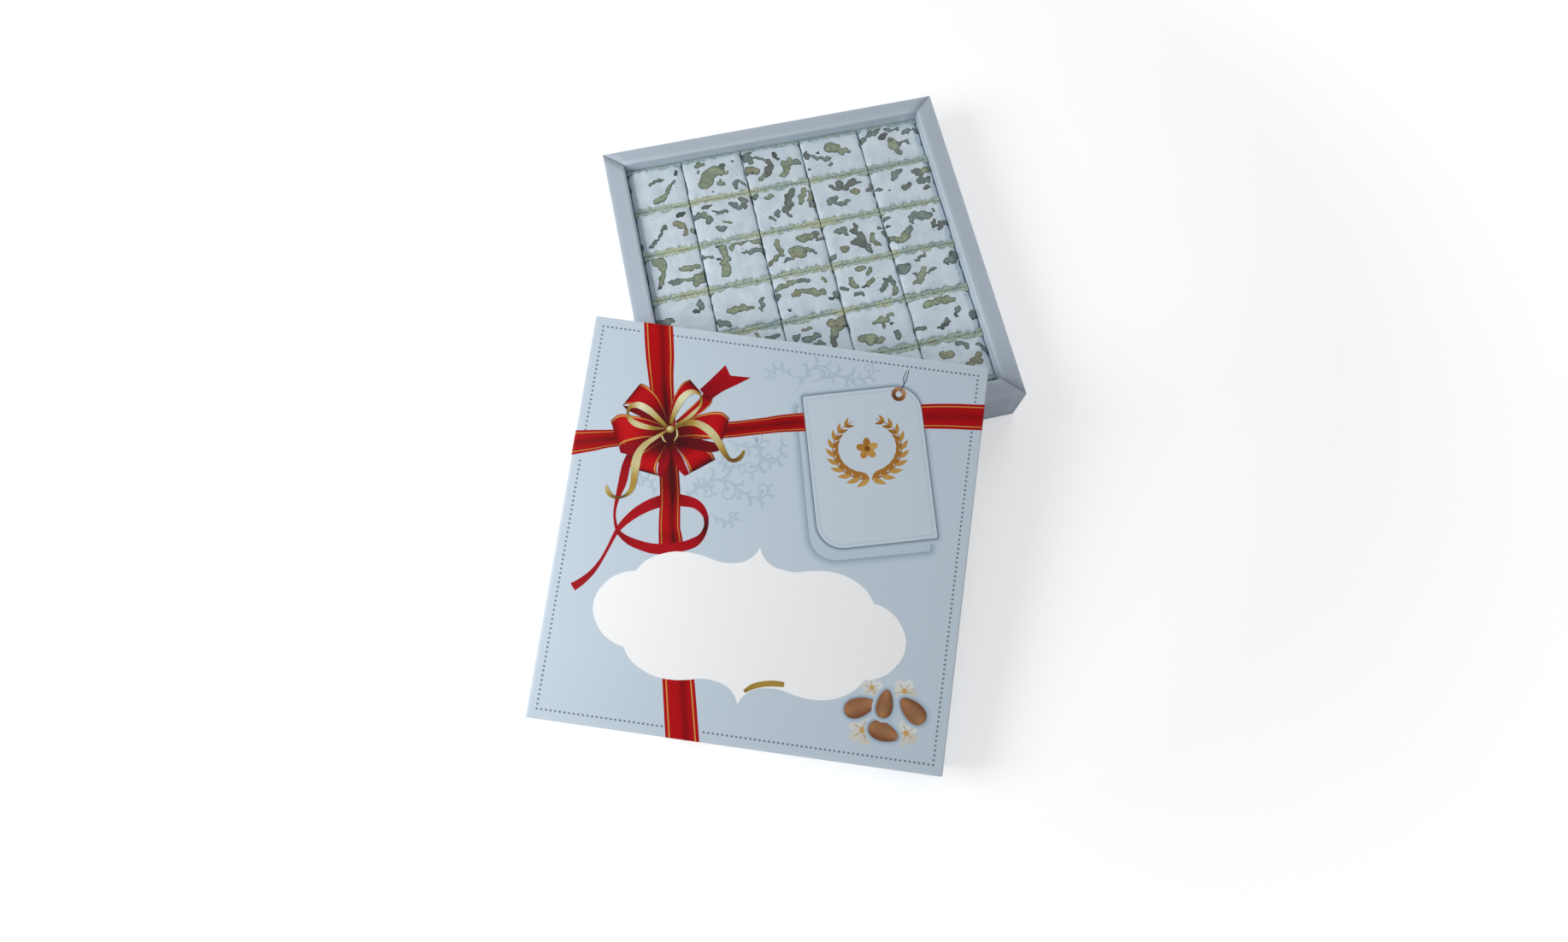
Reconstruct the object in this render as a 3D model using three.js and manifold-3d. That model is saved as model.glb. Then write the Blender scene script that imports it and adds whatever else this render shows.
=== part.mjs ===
// Square card gift box of nougat: an open tray with hollow walls, its wafer-faced pieces and a lid.
// Millimetres, +Z up. The origin is the centre of the tray's underside. The lid lies off the tray
// towards -Y, with its near edge on the table and its right wall on the tray's front rim.
import * as THREE from 'three';
import { mergeVertices } from 'three/addons/utils/BufferGeometryUtils.js';
import Module from 'manifold-3d';

// Nougat pieces, packed in columns along Y and rows along X
const COLUMNS = 5;
const ROWS = 6;
const PIECE_WIDTH = 38.5;
const PIECE_DEPTH = 31.9;
const PIECE_HEIGHT = 26.4;
const WAFER_THICKNESS = 2.8;
const WAFER_DROP = 0.6;
const CROWN = 0.5;
const SIDE_CHAMFER = 0.5;
const COLUMN_GAP = 0.6;
const ROW_GAP = 0.35;
// Each column's width as a share of a piece's width: the slabs are cut by hand
const COLUMN_SHARE = [0.92, 1.014, 1.009, 1.014, 1.043];
// How far each column has slid towards the back wall, as a share of the clearance at its ends
const COLUMN_SLIDE = [0.48, 0.65, 0.74, 0.56, 0.82];

// Tray, folded from one blank with hollow walls and a flat mitred rim
const BOARD = 0.6;
const SIDE_RIM = 12;
const BACK_RIM = 10.5;
const FRONT_RIM = 13;
const HEADROOM = 5;
const SIDE_CLEARANCE = 0.55;
const END_CLEARANCE = 1.675;
const MITRE_GAP = 0.4;
const TUCK_GAP = 0.4;
const TRAY_TAB_LENGTH = 20;

// Lid, folded from one blank with single walls
const LID_HEIGHT = 29;
const LID_CLEARANCE = 1.2;
const LID_TAB_LENGTH = 22;

// How the lid leans on the tray
const LEAN_YAW = THREE.MathUtils.degToRad(-20.8);
const LEAN_INSET = 31.5;
const LEAN_LAP = 14;
const SEAT_GAP = 0.3;

// Sizes that follow from the values above
const COLUMN_WIDTHS = Array.from(
  { length: COLUMNS },
  (_, column) => PIECE_WIDTH * COLUMN_SHARE[column % COLUMN_SHARE.length],
);
const WIDTH_OF_PIECES = COLUMN_WIDTHS.reduce((sum, width) => sum + width, 0);
const TRAY_INNER_WIDTH = WIDTH_OF_PIECES + (COLUMNS - 1) * COLUMN_GAP + 2 * SIDE_CLEARANCE;
const TRAY_INNER_DEPTH = ROWS * PIECE_DEPTH + (ROWS - 1) * ROW_GAP + 2 * END_CLEARANCE;
const TRAY_WIDTH = TRAY_INNER_WIDTH + 2 * SIDE_RIM;
const TRAY_DEPTH = TRAY_INNER_DEPTH + BACK_RIM + FRONT_RIM;
const INNER_Y = (FRONT_RIM - BACK_RIM) / 2;
const TRAY_HEIGHT = BOARD + PIECE_HEIGHT + HEADROOM;
const LID_WIDTH = TRAY_WIDTH + 2 * (LID_CLEARANCE + BOARD);
const LID_DEPTH = TRAY_DEPTH + 2 * (LID_CLEARANCE + BOARD);

// Colours of the photographed surfaces
const TRAY_CARD = { color: 0xe9eef3, roughness: 0.6, metalness: 0 };
const LID_CARD = { color: 0xdfe9f2, roughness: 0.35, metalness: 0 };
const NOUGAT = { color: 0xe6ecec, roughness: 0.5, metalness: 0 };

const wasm = await Module();
wasm.setup();

function toSolid(geometry) {
  geometry.deleteAttribute('normal');
  geometry.deleteAttribute('uv');
  const merged = mergeVertices(geometry);
  return new wasm.Manifold(new wasm.Mesh({
    numProp: 3,
    vertProperties: new Float32Array(merged.attributes.position.array),
    triVerts: new Uint32Array(merged.index.array),
  }));
}

function toGeometry(solid) {
  const { vertProperties, triVerts } = solid.getMesh();
  const geometry = new THREE.BufferGeometry();
  geometry.setAttribute('position', new THREE.BufferAttribute(vertProperties, 3));
  geometry.setIndex(new THREE.BufferAttribute(triVerts, 1));
  geometry.computeVertexNormals();
  return geometry;
}

// A box given by its size, with its underside at the height bottom and its centre at x, y
function block(width, depth, height, x, y, bottom, turn = 0) {
  const geometry = new THREE.BoxGeometry(width, depth, height);
  geometry.rotateZ(turn);
  geometry.translate(x, y, bottom + height / 2);
  return toSolid(geometry);
}

// Four glue tabs, folded in from the side walls and lying on the inside of the front and back walls
function cornerTabs(width, depth, length, height, bottom) {
  const x = width / 2 - BOARD - length / 2;
  const y = depth / 2 - 1.5 * BOARD;
  const corners = [[x, y], [-x, y], [-x, -y], [x, -y]];
  return corners.map(([cx, cy]) => block(length, BOARD, height, cx, cy, bottom));
}

// Slits along the mitres, where the four rims and the four inner walls end against each other
function mitreSlits() {
  const corners = [[1, 1, BACK_RIM], [-1, 1, BACK_RIM], [-1, -1, FRONT_RIM], [1, -1, FRONT_RIM]];
  return corners.map(([sx, sy, rim]) => block(
    Math.hypot(SIDE_RIM, rim),
    MITRE_GAP,
    TRAY_HEIGHT,
    sx * (TRAY_WIDTH / 2 - SIDE_RIM / 2 - BOARD),
    sy * (TRAY_DEPTH / 2 - rim / 2 - BOARD),
    BOARD + TUCK_GAP / 2,
    sx * sy * Math.atan2(rim, SIDE_RIM),
  ));
}

function trayGeometry() {
  const inside = TRAY_HEIGHT - BOARD;
  const wallFoot = BOARD + TUCK_GAP;
  const outerWalls = block(TRAY_WIDTH, TRAY_DEPTH, TRAY_HEIGHT, 0, 0, 0)
    .subtract(block(TRAY_WIDTH - 2 * BOARD, TRAY_DEPTH - 2 * BOARD, TRAY_HEIGHT, 0, 0, BOARD));
  const rim = block(TRAY_WIDTH, TRAY_DEPTH, BOARD, 0, 0, inside);
  const innerWalls = block(
    TRAY_INNER_WIDTH + 2 * BOARD,
    TRAY_INNER_DEPTH + 2 * BOARD,
    TRAY_HEIGHT - wallFoot,
    0,
    INNER_Y,
    wallFoot,
  );
  const space = block(TRAY_INNER_WIDTH, TRAY_INNER_DEPTH, TRAY_HEIGHT, 0, INNER_Y, BOARD);
  let solid = rim.add(innerWalls).subtract(space);
  for (const slit of mitreSlits()) solid = solid.subtract(slit);
  solid = solid.add(outerWalls);
  const tabHeight = inside - wallFoot - TUCK_GAP;
  for (const tab of cornerTabs(TRAY_WIDTH, TRAY_DEPTH, TRAY_TAB_LENGTH, tabHeight, wallFoot)) {
    solid = solid.add(tab);
  }
  return toGeometry(solid);
}

// The lid's own frame has its lower edges in the plane z = 0, its near edge along X at y = 0
// and its right wall's outer face at x = 0
function lidGeometry() {
  const walls = block(LID_WIDTH, LID_DEPTH, LID_HEIGHT, 0, 0, 0)
    .subtract(block(LID_WIDTH - 2 * BOARD, LID_DEPTH - 2 * BOARD, LID_HEIGHT, 0, 0, -BOARD));
  const tabHeight = LID_HEIGHT - BOARD - 2 * TUCK_GAP;
  let solid = walls;
  for (const tab of cornerTabs(LID_WIDTH, LID_DEPTH, LID_TAB_LENGTH, tabHeight, TUCK_GAP)) {
    solid = solid.add(tab);
  }
  const geometry = toGeometry(solid);
  geometry.translate(-LID_WIDTH / 2, LID_DEPTH / 2, 0);
  return geometry;
}

// Side view of a piece: a crowned nougat core between two wafers that stop a little lower,
// extruded across its width with chamfered flanks
function pieceGeometry(width) {
  const half = PIECE_DEPTH / 2 - SIDE_CHAMFER;
  const core = PIECE_DEPTH / 2 - WAFER_THICKNESS;
  const foot = SIDE_CHAMFER;
  const shoulder = PIECE_HEIGHT - SIDE_CHAMFER - CROWN;
  const waferTop = shoulder - WAFER_DROP;
  const profile = new THREE.Shape();
  profile.moveTo(-half, foot);
  profile.lineTo(half, foot);
  profile.lineTo(half, waferTop);
  profile.lineTo(core, waferTop);
  profile.lineTo(core, shoulder);
  profile.quadraticCurveTo(0, shoulder + 2 * CROWN, -core, shoulder);
  profile.lineTo(-core, waferTop);
  profile.lineTo(-half, waferTop);
  profile.closePath();
  const geometry = new THREE.ExtrudeGeometry(profile, {
    depth: width - 2 * SIDE_CHAMFER,
    curveSegments: 4,
    bevelEnabled: true,
    bevelThickness: SIDE_CHAMFER,
    bevelSize: SIDE_CHAMFER,
    bevelSegments: 1,
  });
  geometry.translate(0, 0, SIDE_CHAMFER - width / 2);
  geometry.rotateX(Math.PI / 2);
  geometry.rotateZ(Math.PI / 2);
  geometry.deleteAttribute('normal');
  geometry.deleteAttribute('uv');
  const welded = mergeVertices(geometry);
  welded.computeVertexNormals();
  return welded;
}

function mesh(name, geometry, finish) {
  const piece = new THREE.Mesh(geometry, new THREE.MeshStandardMaterial(finish));
  piece.name = name;
  return piece;
}

// Row 1 is at the back of the tray and column 1 on its left
function nougatPieces() {
  const pieces = new THREE.Group();
  const rowPitch = PIECE_DEPTH + ROW_GAP;
  let left = SIDE_CLEARANCE - TRAY_INNER_WIDTH / 2;
  for (let column = 0; column < COLUMNS; column += 1) {
    const width = COLUMN_WIDTHS[column];
    const slide = COLUMN_SLIDE[column % COLUMN_SLIDE.length] * END_CLEARANCE;
    for (let row = 0; row < ROWS; row += 1) {
      const piece = mesh(`nougat_r${row + 1}_c${column + 1}`, pieceGeometry(width), NOUGAT);
      piece.position.set(
        left + width / 2,
        INNER_Y + ((ROWS - 1) / 2 - row) * rowPitch + slide,
        BOARD,
      );
      pieces.add(piece);
    }
    left += width + COLUMN_GAP;
  }
  return pieces;
}

// The lid turns about its near right lower corner: first up until its right wall clears the front
// rim, then round by the yaw
function leaningLid() {
  const slope = LID_DEPTH - LEAN_LAP;
  const tilt = Math.asin((TRAY_HEIGHT + SEAT_GAP) / slope);
  const reach = slope * Math.cos(tilt);
  const tilted = new THREE.Group();
  tilted.rotation.x = tilt;
  tilted.add(mesh('lid', lidGeometry(), LID_CARD));
  const placed = new THREE.Group();
  placed.rotation.z = LEAN_YAW;
  placed.position.set(
    TRAY_WIDTH / 2 - LEAN_INSET + reach * Math.sin(LEAN_YAW),
    -TRAY_DEPTH / 2 - reach * Math.cos(LEAN_YAW),
    0,
  );
  placed.add(tilted);
  return placed;
}

const giftBox = new THREE.Group();
giftBox.add(mesh('tray', trayGeometry(), TRAY_CARD));
giftBox.add(nougatPieces());
giftBox.add(leaningLid());

export default giftBox;
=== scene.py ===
"""Looks of a square gift box of nougat: a card tray, wafer-faced pieces with nuts and a printed lid.

Lengths are in millimetres until a mesh is made, and angles are given in degrees. The row frame has +Z up
and the tray's underside at z = 0.
"""
import math
import random

import bmesh
import bpy
import numpy as np
from mathutils import Matrix, Vector, geometry, kdtree, noise


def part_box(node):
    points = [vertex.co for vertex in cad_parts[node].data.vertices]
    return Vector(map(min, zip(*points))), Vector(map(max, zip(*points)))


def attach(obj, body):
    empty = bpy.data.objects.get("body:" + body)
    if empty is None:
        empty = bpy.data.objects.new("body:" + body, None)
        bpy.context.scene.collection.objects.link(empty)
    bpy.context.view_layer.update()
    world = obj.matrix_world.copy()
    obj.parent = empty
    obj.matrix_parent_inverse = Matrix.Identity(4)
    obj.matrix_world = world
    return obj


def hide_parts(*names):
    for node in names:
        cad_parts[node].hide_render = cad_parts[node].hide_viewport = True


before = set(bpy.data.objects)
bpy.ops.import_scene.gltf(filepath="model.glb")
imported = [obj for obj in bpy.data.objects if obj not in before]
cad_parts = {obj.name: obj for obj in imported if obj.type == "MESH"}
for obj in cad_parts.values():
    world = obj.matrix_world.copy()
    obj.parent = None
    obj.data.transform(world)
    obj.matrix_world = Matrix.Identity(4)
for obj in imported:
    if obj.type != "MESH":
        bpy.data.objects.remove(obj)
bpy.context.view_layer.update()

MM = 0.001

# Seed of the noise vectors that make the nuts ragged
NOISE_SEED = 1
noise.seed_set(NOISE_SEED)

# The photograph's frame, in its own pixels, and where its camera stood
PHOTO_WIDTH = 1834
PHOTO_HEIGHT = 1102
FOCAL_LENGTH = 941.2
OPTICAL_CENTRE = (951.3, 580.0)
CAMERA_PLACE = (-64.0, -264.2, 474.9)
CAMERA_YAW = -16.41
CAMERA_PITCH = 15.83
CAMERA_ROLL = 3.53

# Tray, with the same sizes as its solid
TRAY_HALF = 110.0
TRAY_HEIGHT = 32.0
BOARD = 0.6
SIDE_RIM = 12.0
BACK_RIM = 10.5
FRONT_RIM = 13.0
INNER_WALL_FOOT = 1.0
FOLD = 0.9
INNER_FOLD = 1.7

# Lid, with the same sizes as its solid
LID_HALF = 111.8
LID_HEIGHT = 29.0
LID_FOLD = 0.9

# How the lid leans on the tray, as its solid does
LEAN_YAW = math.radians(-20.8)
LEAN_INSET = 31.5
LEAN_LAP = 14.0
SEAT_GAP = 0.3
LEAN_SLOPE = 2 * LID_HALF - LEAN_LAP
LEAN_TILT = math.asin((TRAY_HEIGHT + SEAT_GAP) / LEAN_SLOPE)
LEAN_REACH = LEAN_SLOPE * math.cos(LEAN_TILT)
LID_CORNER = (
    TRAY_HALF - LEAN_INSET + LEAN_REACH * math.sin(LEAN_YAW),
    -TRAY_HALF - LEAN_REACH * math.cos(LEAN_YAW),
    0,
)
LID_PLACE = (
    Matrix.Translation(LID_CORNER)
    @ Matrix.Rotation(LEAN_YAW, 4, "Z")
    @ Matrix.Rotation(LEAN_TILT, 4, "X")
    @ Matrix.Translation((-LID_HALF, LID_HALF, 0))
)

# How far the middle of a lid wall is drawn in, and the share of a half wave over the wall's height
WALL_PULL = 0.45
WALL_WAVE = 0.62
# Step between the levels of printed layers
INK = 0.012

# Nougat pieces
WAFER = 2.8
WAFER_TOP = 25.4
WAFER_GROWTH = 0.12
CORE_FOLD = 1.9
CORE_GROWTH = 0.12


def srgb(red, green, blue):
    """Linear colour for a shown one, whose channels go from 0 to 255."""

    def linear(channel):
        share = channel / 255
        if share <= 0.04045:
            return share / 12.92
        return ((share + 0.055) / 1.055) ** 2.4

    return (linear(red), linear(green), linear(blue), 1.0)


def clamped(value, low, high):
    return min(high, max(low, value))


def smooth_step(low, high, value):
    """0 below the low level, 1 above the high one, and a smooth rise between them."""
    share = clamped((value - low) / (high - low), 0.0, 1.0)
    return share * share * (3 - 2 * share)


def hump(value, place, width):
    """1 at a place, falling off smoothly to both sides within about twice the width."""
    return math.exp(-(((value - place) / width) ** 2))


def ripple(x, y, z):
    """Smooth noise from about -1 to 1."""
    return noise.noise(Vector((x, y, z)))


def new_object(name, data):
    """An object in the scene that holds a mesh, a lamp or a camera."""
    holder = bpy.data.objects.new(name, data)
    bpy.context.scene.collection.objects.link(holder)
    return holder


# Materials


class Surface:
    """A procedural material on a Principled shader, with short ways to add nodes."""

    def __init__(self, name, **inputs):
        self.material = bpy.data.materials.new(name)
        self.material.use_nodes = True
        self.tree = self.material.node_tree
        self.shader = self.tree.nodes["Principled BSDF"]
        self.place = self.tree.nodes.new("ShaderNodeTexCoord").outputs["Object"]
        self.feed(self.shader, {key.replace("_", " "): value for key, value in inputs.items()})

    def feed(self, node, inputs):
        for key, value in inputs.items():
            if isinstance(value, bpy.types.NodeSocket):
                self.tree.links.new(value, node.inputs[key])
            else:
                node.inputs[key].default_value = value

    def add(self, kind, inputs, output=0, **settings):
        node = self.tree.nodes.new(kind)
        for key, value in settings.items():
            setattr(node, key, value)
        self.feed(node, inputs)
        return node.outputs[output]

    def grain(self, size, detail=2.0, stretch=None):
        """Noise from 0 to 1 with features of about the given size, longer along the stretched axes."""
        place = self.place
        if stretch:
            place = self.add("ShaderNodeMapping", {"Vector": place, "Scale": stretch})
        return self.add("ShaderNodeTexNoise", {"Vector": place, "Scale": 1 / (size * MM), "Detail": detail})

    def cells(self, size):
        """Distance to the nearest of scattered points, about the given size apart."""
        return self.add("ShaderNodeTexVoronoi", {"Vector": self.place, "Scale": 1 / (size * MM)}, "Distance")

    def named(self, name, output="Fac"):
        return self.add("ShaderNodeAttribute", {}, output, attribute_name=name)

    def span(self, value, low, high):
        """The value's place between two levels, from 0 to 1."""
        return self.add("ShaderNodeMapRange", {"Value": value, "From Min": low, "From Max": high})

    def combine(self, operation, first, second=0.0):
        return self.add("ShaderNodeMath", {0: first, 1: second}, operation=operation)

    def mix(self, share, first, second, blend="MIX"):
        inputs = {"Factor": share, 6: first, 7: second}
        return self.add("ShaderNodeMix", inputs, 2, data_type="RGBA", blend_type=blend)

    def colour(self, source):
        self.feed(self.shader, {"Base Color": source})

    def rough(self, source, low, high):
        spread = {"Value": source, "To Min": low, "To Max": high}
        self.feed(self.shader, {"Roughness": self.add("ShaderNodeMapRange", spread)})

    def bump(self, height, depth):
        """Relief of the given depth from a height that goes from 0 to 1."""
        normal = self.add("ShaderNodeBump", {"Height": height, "Distance": depth * MM})
        self.feed(self.shader, {"Normal": normal})


def tray_card():
    """Uncoated white board: fine fibres and faint blotches, with a painted highlight along the folds and
    painted light down the inner walls.
    """
    card = Surface("tray_card", Roughness=0.62)
    blotch = card.mix(card.grain(26), srgb(180, 192, 205), srgb(187, 199, 212))
    fibre = card.grain(1.6, 4.0, (1.0, 0.45, 1.0))
    speckled = card.mix(card.span(fibre, 0.66, 0.8), blotch, srgb(174, 186, 199))
    # Painted highlight along the folds and painted light down the inner walls: the fold attribute pales the
    # board
    card.colour(card.mix(card.named("fold"), speckled, srgb(213, 224, 234)))
    card.rough(fibre, 0.5, 0.75)
    card.bump(card.grain(0.9, 5.0), 0.05)
    return card.material


def lid_card():
    """Coated printed board with a satin face."""
    card = Surface("lid_card", Specular_IOR_Level=0.3)
    tone = card.mix(card.grain(70, 1.0), srgb(194, 209, 222), srgb(200, 214, 226))
    # Painted highlight along the fold, broken up by noise, and paler lower edges: the fold attribute pales
    # the print
    pale_share = card.combine("MULTIPLY", card.named("fold"), card.grain(5))
    card.colour(card.mix(pale_share, tone, srgb(218, 228, 237)))
    card.rough(card.grain(9), 0.3, 0.42)
    card.bump(card.grain(1.2, 3.0), 0.012)
    return card.material


def lid_inside_card():
    """Unprinted grey-white back of the lid's board."""
    card = Surface("lid_inside_card", Roughness=0.7)
    fibre = card.grain(1.8, 4.0, (1.0, 0.4, 1.0))
    card.colour(card.mix(card.span(fibre, 0.35, 0.7), srgb(202, 203, 200), srgb(218, 219, 216)))
    card.bump(fibre, 0.05)
    return card.material


def plain_ink(name, first, second, size=14.0, roughness=0.36):
    """A flat printed colour with the slight unevenness of the print."""
    ink = Surface(name, Specular_IOR_Level=0.2)
    ink.colour(ink.mix(ink.grain(size, 3.0), srgb(*first), srgb(*second)))
    ink.rough(ink.grain(9), roughness - 0.06, roughness + 0.06)
    return ink.material


def fading_ink(name, deep, pale):
    """A printed colour that the shade attribute deepens from a paler one."""
    ink = Surface(name, Roughness=0.36, Specular_IOR_Level=0.2)
    tone = ink.mix(ink.grain(70, 1.0), srgb(*pale), srgb(*(min(255, c + 6) for c in pale)))
    ink.colour(ink.mix(ink.named("shade"), tone, srgb(*deep)))
    return ink.material


def ribbon_ink(name, colours, lines=None, line_place=0.385, line_width=0.021):
    """Printed satin, shaded by the shade attribute, with a line near each edge by the across attribute."""
    ink = Surface(name, Specular_IOR_Level=0.12)
    sheen = ink.span(ink.grain(4.0, 3.0, (1.0, 1.0, 0.3)), -5.0, 6.0)
    shade = ink.combine("ADD", ink.named("shade"), ink.combine("SUBTRACT", sheen, 0.5))
    dark, middle, light = (srgb(*c) for c in colours)
    body = ink.mix(ink.span(shade, 0.0, 0.5), dark, middle)
    body = ink.mix(ink.span(shade, 0.5, 1.0), body, light)
    if lines:
        off_centre = ink.combine("ABSOLUTE", ink.combine("SUBTRACT", ink.named("across"), 0.5))
        band = {0: off_centre, 1: line_place, 2: line_width}
        on_line = ink.add("ShaderNodeMath", band, operation="COMPARE")
        gold = ink.mix(ink.span(shade, 0.0, 0.7), srgb(*lines[0]), srgb(*lines[1]))
        body = ink.mix(on_line, body, gold)
    ink.colour(body)
    ink.rough(ink.grain(9), 0.3, 0.42)
    return ink.material


def nougat_paste():
    """White nougat under its clear wrap: faint mottling, dark crumbs and small creases that glint."""
    paste = Surface("nougat_paste", Roughness=0.5, Coat_Weight=0.4, Coat_Roughness=0.2)
    tone = paste.mix(paste.span(paste.grain(9, 4.0), 0.3, 0.7), srgb(197, 213, 225), srgb(217, 229, 237))
    crumbs = paste.span(paste.cells(3.4), 0.15, 0.08)
    crumbs = paste.combine("MULTIPLY", crumbs, paste.span(paste.grain(8), 0.5, 0.58))
    paste.colour(paste.mix(crumbs, tone, srgb(120, 130, 126)))
    crease = paste.grain(5.0, 2.0, (1.0, 0.4, 1.0))
    relief = paste.combine("ADD", crease, paste.grain(1.3, 3.0))
    paste.bump(relief, 0.3)
    return paste.material


def wafer_crust():
    """Pale wafer: green-grey to yellow along it, with toasted places, painted shade that darkens its hollows,
    and a cooler painted shade at the back.
    """
    crust = Surface("wafer_crust", Roughness=0.75)
    tone = crust.mix(crust.span(crust.grain(1.6, 4.0), 0.3, 0.7), srgb(158, 178, 165), srgb(200, 211, 198))
    tone = crust.mix(crust.span(crust.grain(26, 1.0), 0.45, 0.72), tone, srgb(194, 201, 169))
    tone = crust.mix(crust.span(crust.grain(19, 1.0), 0.52, 0.66), tone, srgb(170, 190, 186))
    toasted = crust.combine("MULTIPLY", crust.span(crust.grain(14, 3.0), 0.62, 0.76), 0.5)
    tone = crust.mix(toasted, tone, srgb(152, 142, 110))
    # Painted shade: a cooler tone on the back row's back faces, which lie in shadow
    tone = crust.mix(crust.named("cool"), tone, srgb(168, 192, 197))
    # Painted shade: darker in the embossed hollows and the low places of the ragged top
    crust.colour(crust.mix(crust.named("hollow"), tone, srgb(92, 111, 100)))
    crust.bump(crust.grain(0.8, 4.0), 0.3)
    return crust.material


def nut_kernel():
    """Cut nut kernels: each nut's own tint, veined and blotched, with a dark skin round the cut."""
    kernel = Surface("nut_kernel", Roughness=0.5, Coat_Weight=0.3, Coat_Roughness=0.25)
    vein = kernel.span(kernel.grain(2.2, 4.0), 0.34, 0.66)
    veined = kernel.mix(vein, srgb(172, 178, 176), srgb(255, 255, 250))
    flesh = kernel.mix(0.8, kernel.named("tint", "Color"), veined, "MULTIPLY")
    kernel.colour(kernel.mix(kernel.named("skin"), flesh, srgb(38, 51, 52)))
    kernel.bump(kernel.grain(1.1, 3.0), 0.25)
    return kernel.material


# Meshes


def make_piece(name, points, faces, materials, body, smooth=True, values=None, face_materials=None):
    """A closed mesh piece from points in the row frame, riding on a body, with named values on its points."""
    mesh = bpy.data.meshes.new(name)
    mesh.from_pydata([tuple(p) for p in np.asarray(points, float) * MM], [], faces)
    shape = bmesh.new()
    shape.from_mesh(mesh)
    bmesh.ops.recalc_face_normals(shape, faces=shape.faces)
    shape.to_mesh(mesh)
    shape.free()
    for key, numbers in (values or {}).items():
        numbers = np.asarray(numbers, np.float32)
        if numbers.ndim == 2:
            mesh.attributes.new(key, "FLOAT_COLOR", "POINT").data.foreach_set("color", numbers.ravel())
        else:
            mesh.attributes.new(key, "FLOAT", "POINT").data.foreach_set("value", numbers)
    for material in materials if isinstance(materials, list) else [materials]:
        mesh.materials.append(material)
    if face_materials is not None:
        mesh.polygons.foreach_set("material_index", np.asarray(face_materials, np.int32))
    mesh.polygons.foreach_set("use_smooth", np.full(len(mesh.polygons), smooth))
    piece = new_object(name, mesh)
    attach(piece, body)
    return piece


class Batch:
    """Several closed shells gathered for one piece."""

    def __init__(self):
        self.points = []
        self.faces = []
        self.values = {}

    def add(self, points, faces, **values):
        start = len(self.points)
        self.points.extend(tuple(p) for p in points)
        self.faces.extend(tuple(start + i for i in face) for face in faces)
        for key, numbers in values.items():
            self.values.setdefault(key, []).extend(numbers)

    def piece(self, name, material, body, slot, smooth=True):
        return make_piece(name, self.points, self.faces, material, body, smooth, self.values)

    def printed(self, name, ink):
        """Makes the batch a printed layer on the lid."""
        self.piece("lid_print_" + name, ink, "lid", "lid_board", False)


def block_surface(xs, ys, zs):
    """The closed surface of a block that is cut at the given places along each axis."""
    cuts = [list(xs), list(ys), list(zs)]
    last = [len(c) - 1 for c in cuts]
    index = {}
    points = []
    faces = []

    def point(place):
        if place not in index:
            index[place] = len(points)
            points.append([cuts[axis][place[axis]] for axis in range(3)])
        return index[place]

    for axis in range(3):
        u, v = (axis + 1) % 3, (axis + 2) % 3
        for side in (0, last[axis]):
            for i in range(last[u]):
                for j in range(last[v]):
                    face = []
                    for di, dj in ((0, 0), (1, 0), (1, 1), (0, 1)):
                        place = [side] * 3
                        place[u], place[v] = i + di, j + dj
                        face.append(point(tuple(place)))
                    faces.append(face if side else face[::-1])
    return np.array(points), faces


def even_cuts(half, fold, step):
    """Places from -half to half, close together within the fold at each end."""
    edge = [half, half - 0.4 * fold, half - 0.75 * fold]
    count = max(2, round(2 * (half - fold) / step))
    inner = np.linspace(-(half - fold), half - fold, count + 1)
    return [-e for e in edge] + list(inner) + edge[::-1]


def rounded(points, half, fold):
    """Rounds the edges of a block that is centred on the origin."""
    half = np.asarray(half, float)
    inner = np.clip(points, fold - half, half - fold)
    away = points - inner
    return inner + away * (fold / np.maximum(np.linalg.norm(away, axis=1, keepdims=True), 1e-9))


def soft_block(half, fold, steps):
    """A closed block about the origin with rounded edges, and points about the given steps apart."""
    cuts = [even_cuts(size, fold, step) for size, step in zip(half, steps)]
    points, faces = block_surface(*cuts)
    return rounded(points, half, fold), faces


def tube_faces(loops, size):
    """Faces between successive closed loops, each of the given number of points."""
    faces = []
    for k in range(loops - 1):
        for i in range(size):
            j = (i + 1) % size
            faces.append((k * size + i, k * size + j, (k + 1) * size + j, (k + 1) * size + i))
    return faces


def slab(upper, lower):
    """A closed mesh between two grids of points of the same shape."""
    rows, columns = upper.shape[:2]
    count = rows * columns
    points = np.concatenate([upper.reshape(-1, 3), lower.reshape(-1, 3)])
    faces = []
    for i in range(rows - 1):
        for j in range(columns - 1):
            a = i * columns + j
            face = (a, a + 1, a + columns + 1, a + columns)
            faces.append(face)
            faces.append(tuple(count + k for k in reversed(face)))
    border = list(range(columns))
    border += [i * columns + columns - 1 for i in range(1, rows)]
    border += [(rows - 1) * columns + j for j in range(columns - 2, -1, -1)]
    border += [i * columns for i in range(rows - 2, 0, -1)]
    for a, b in zip(border, border[1:] + border[:1]):
        faces.append((b, a, a + count, b + count))
    return points, faces


def prism(outline, upper, lower):
    """A closed prism over a plane outline, between two levels."""
    count = len(outline)
    points = [(x, y, upper) for x, y in outline] + [(x, y, lower) for x, y in outline]
    triangles = geometry.tessellate_polygon([[Vector((x, y, 0)) for x, y in outline]])
    faces = [tuple(t) for t in triangles]
    faces += [tuple(i + count for i in reversed(t)) for t in triangles]
    for i in range(count):
        j = (i + 1) % count
        faces.append((i, j, j + count, i + count))
    return points, faces


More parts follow.
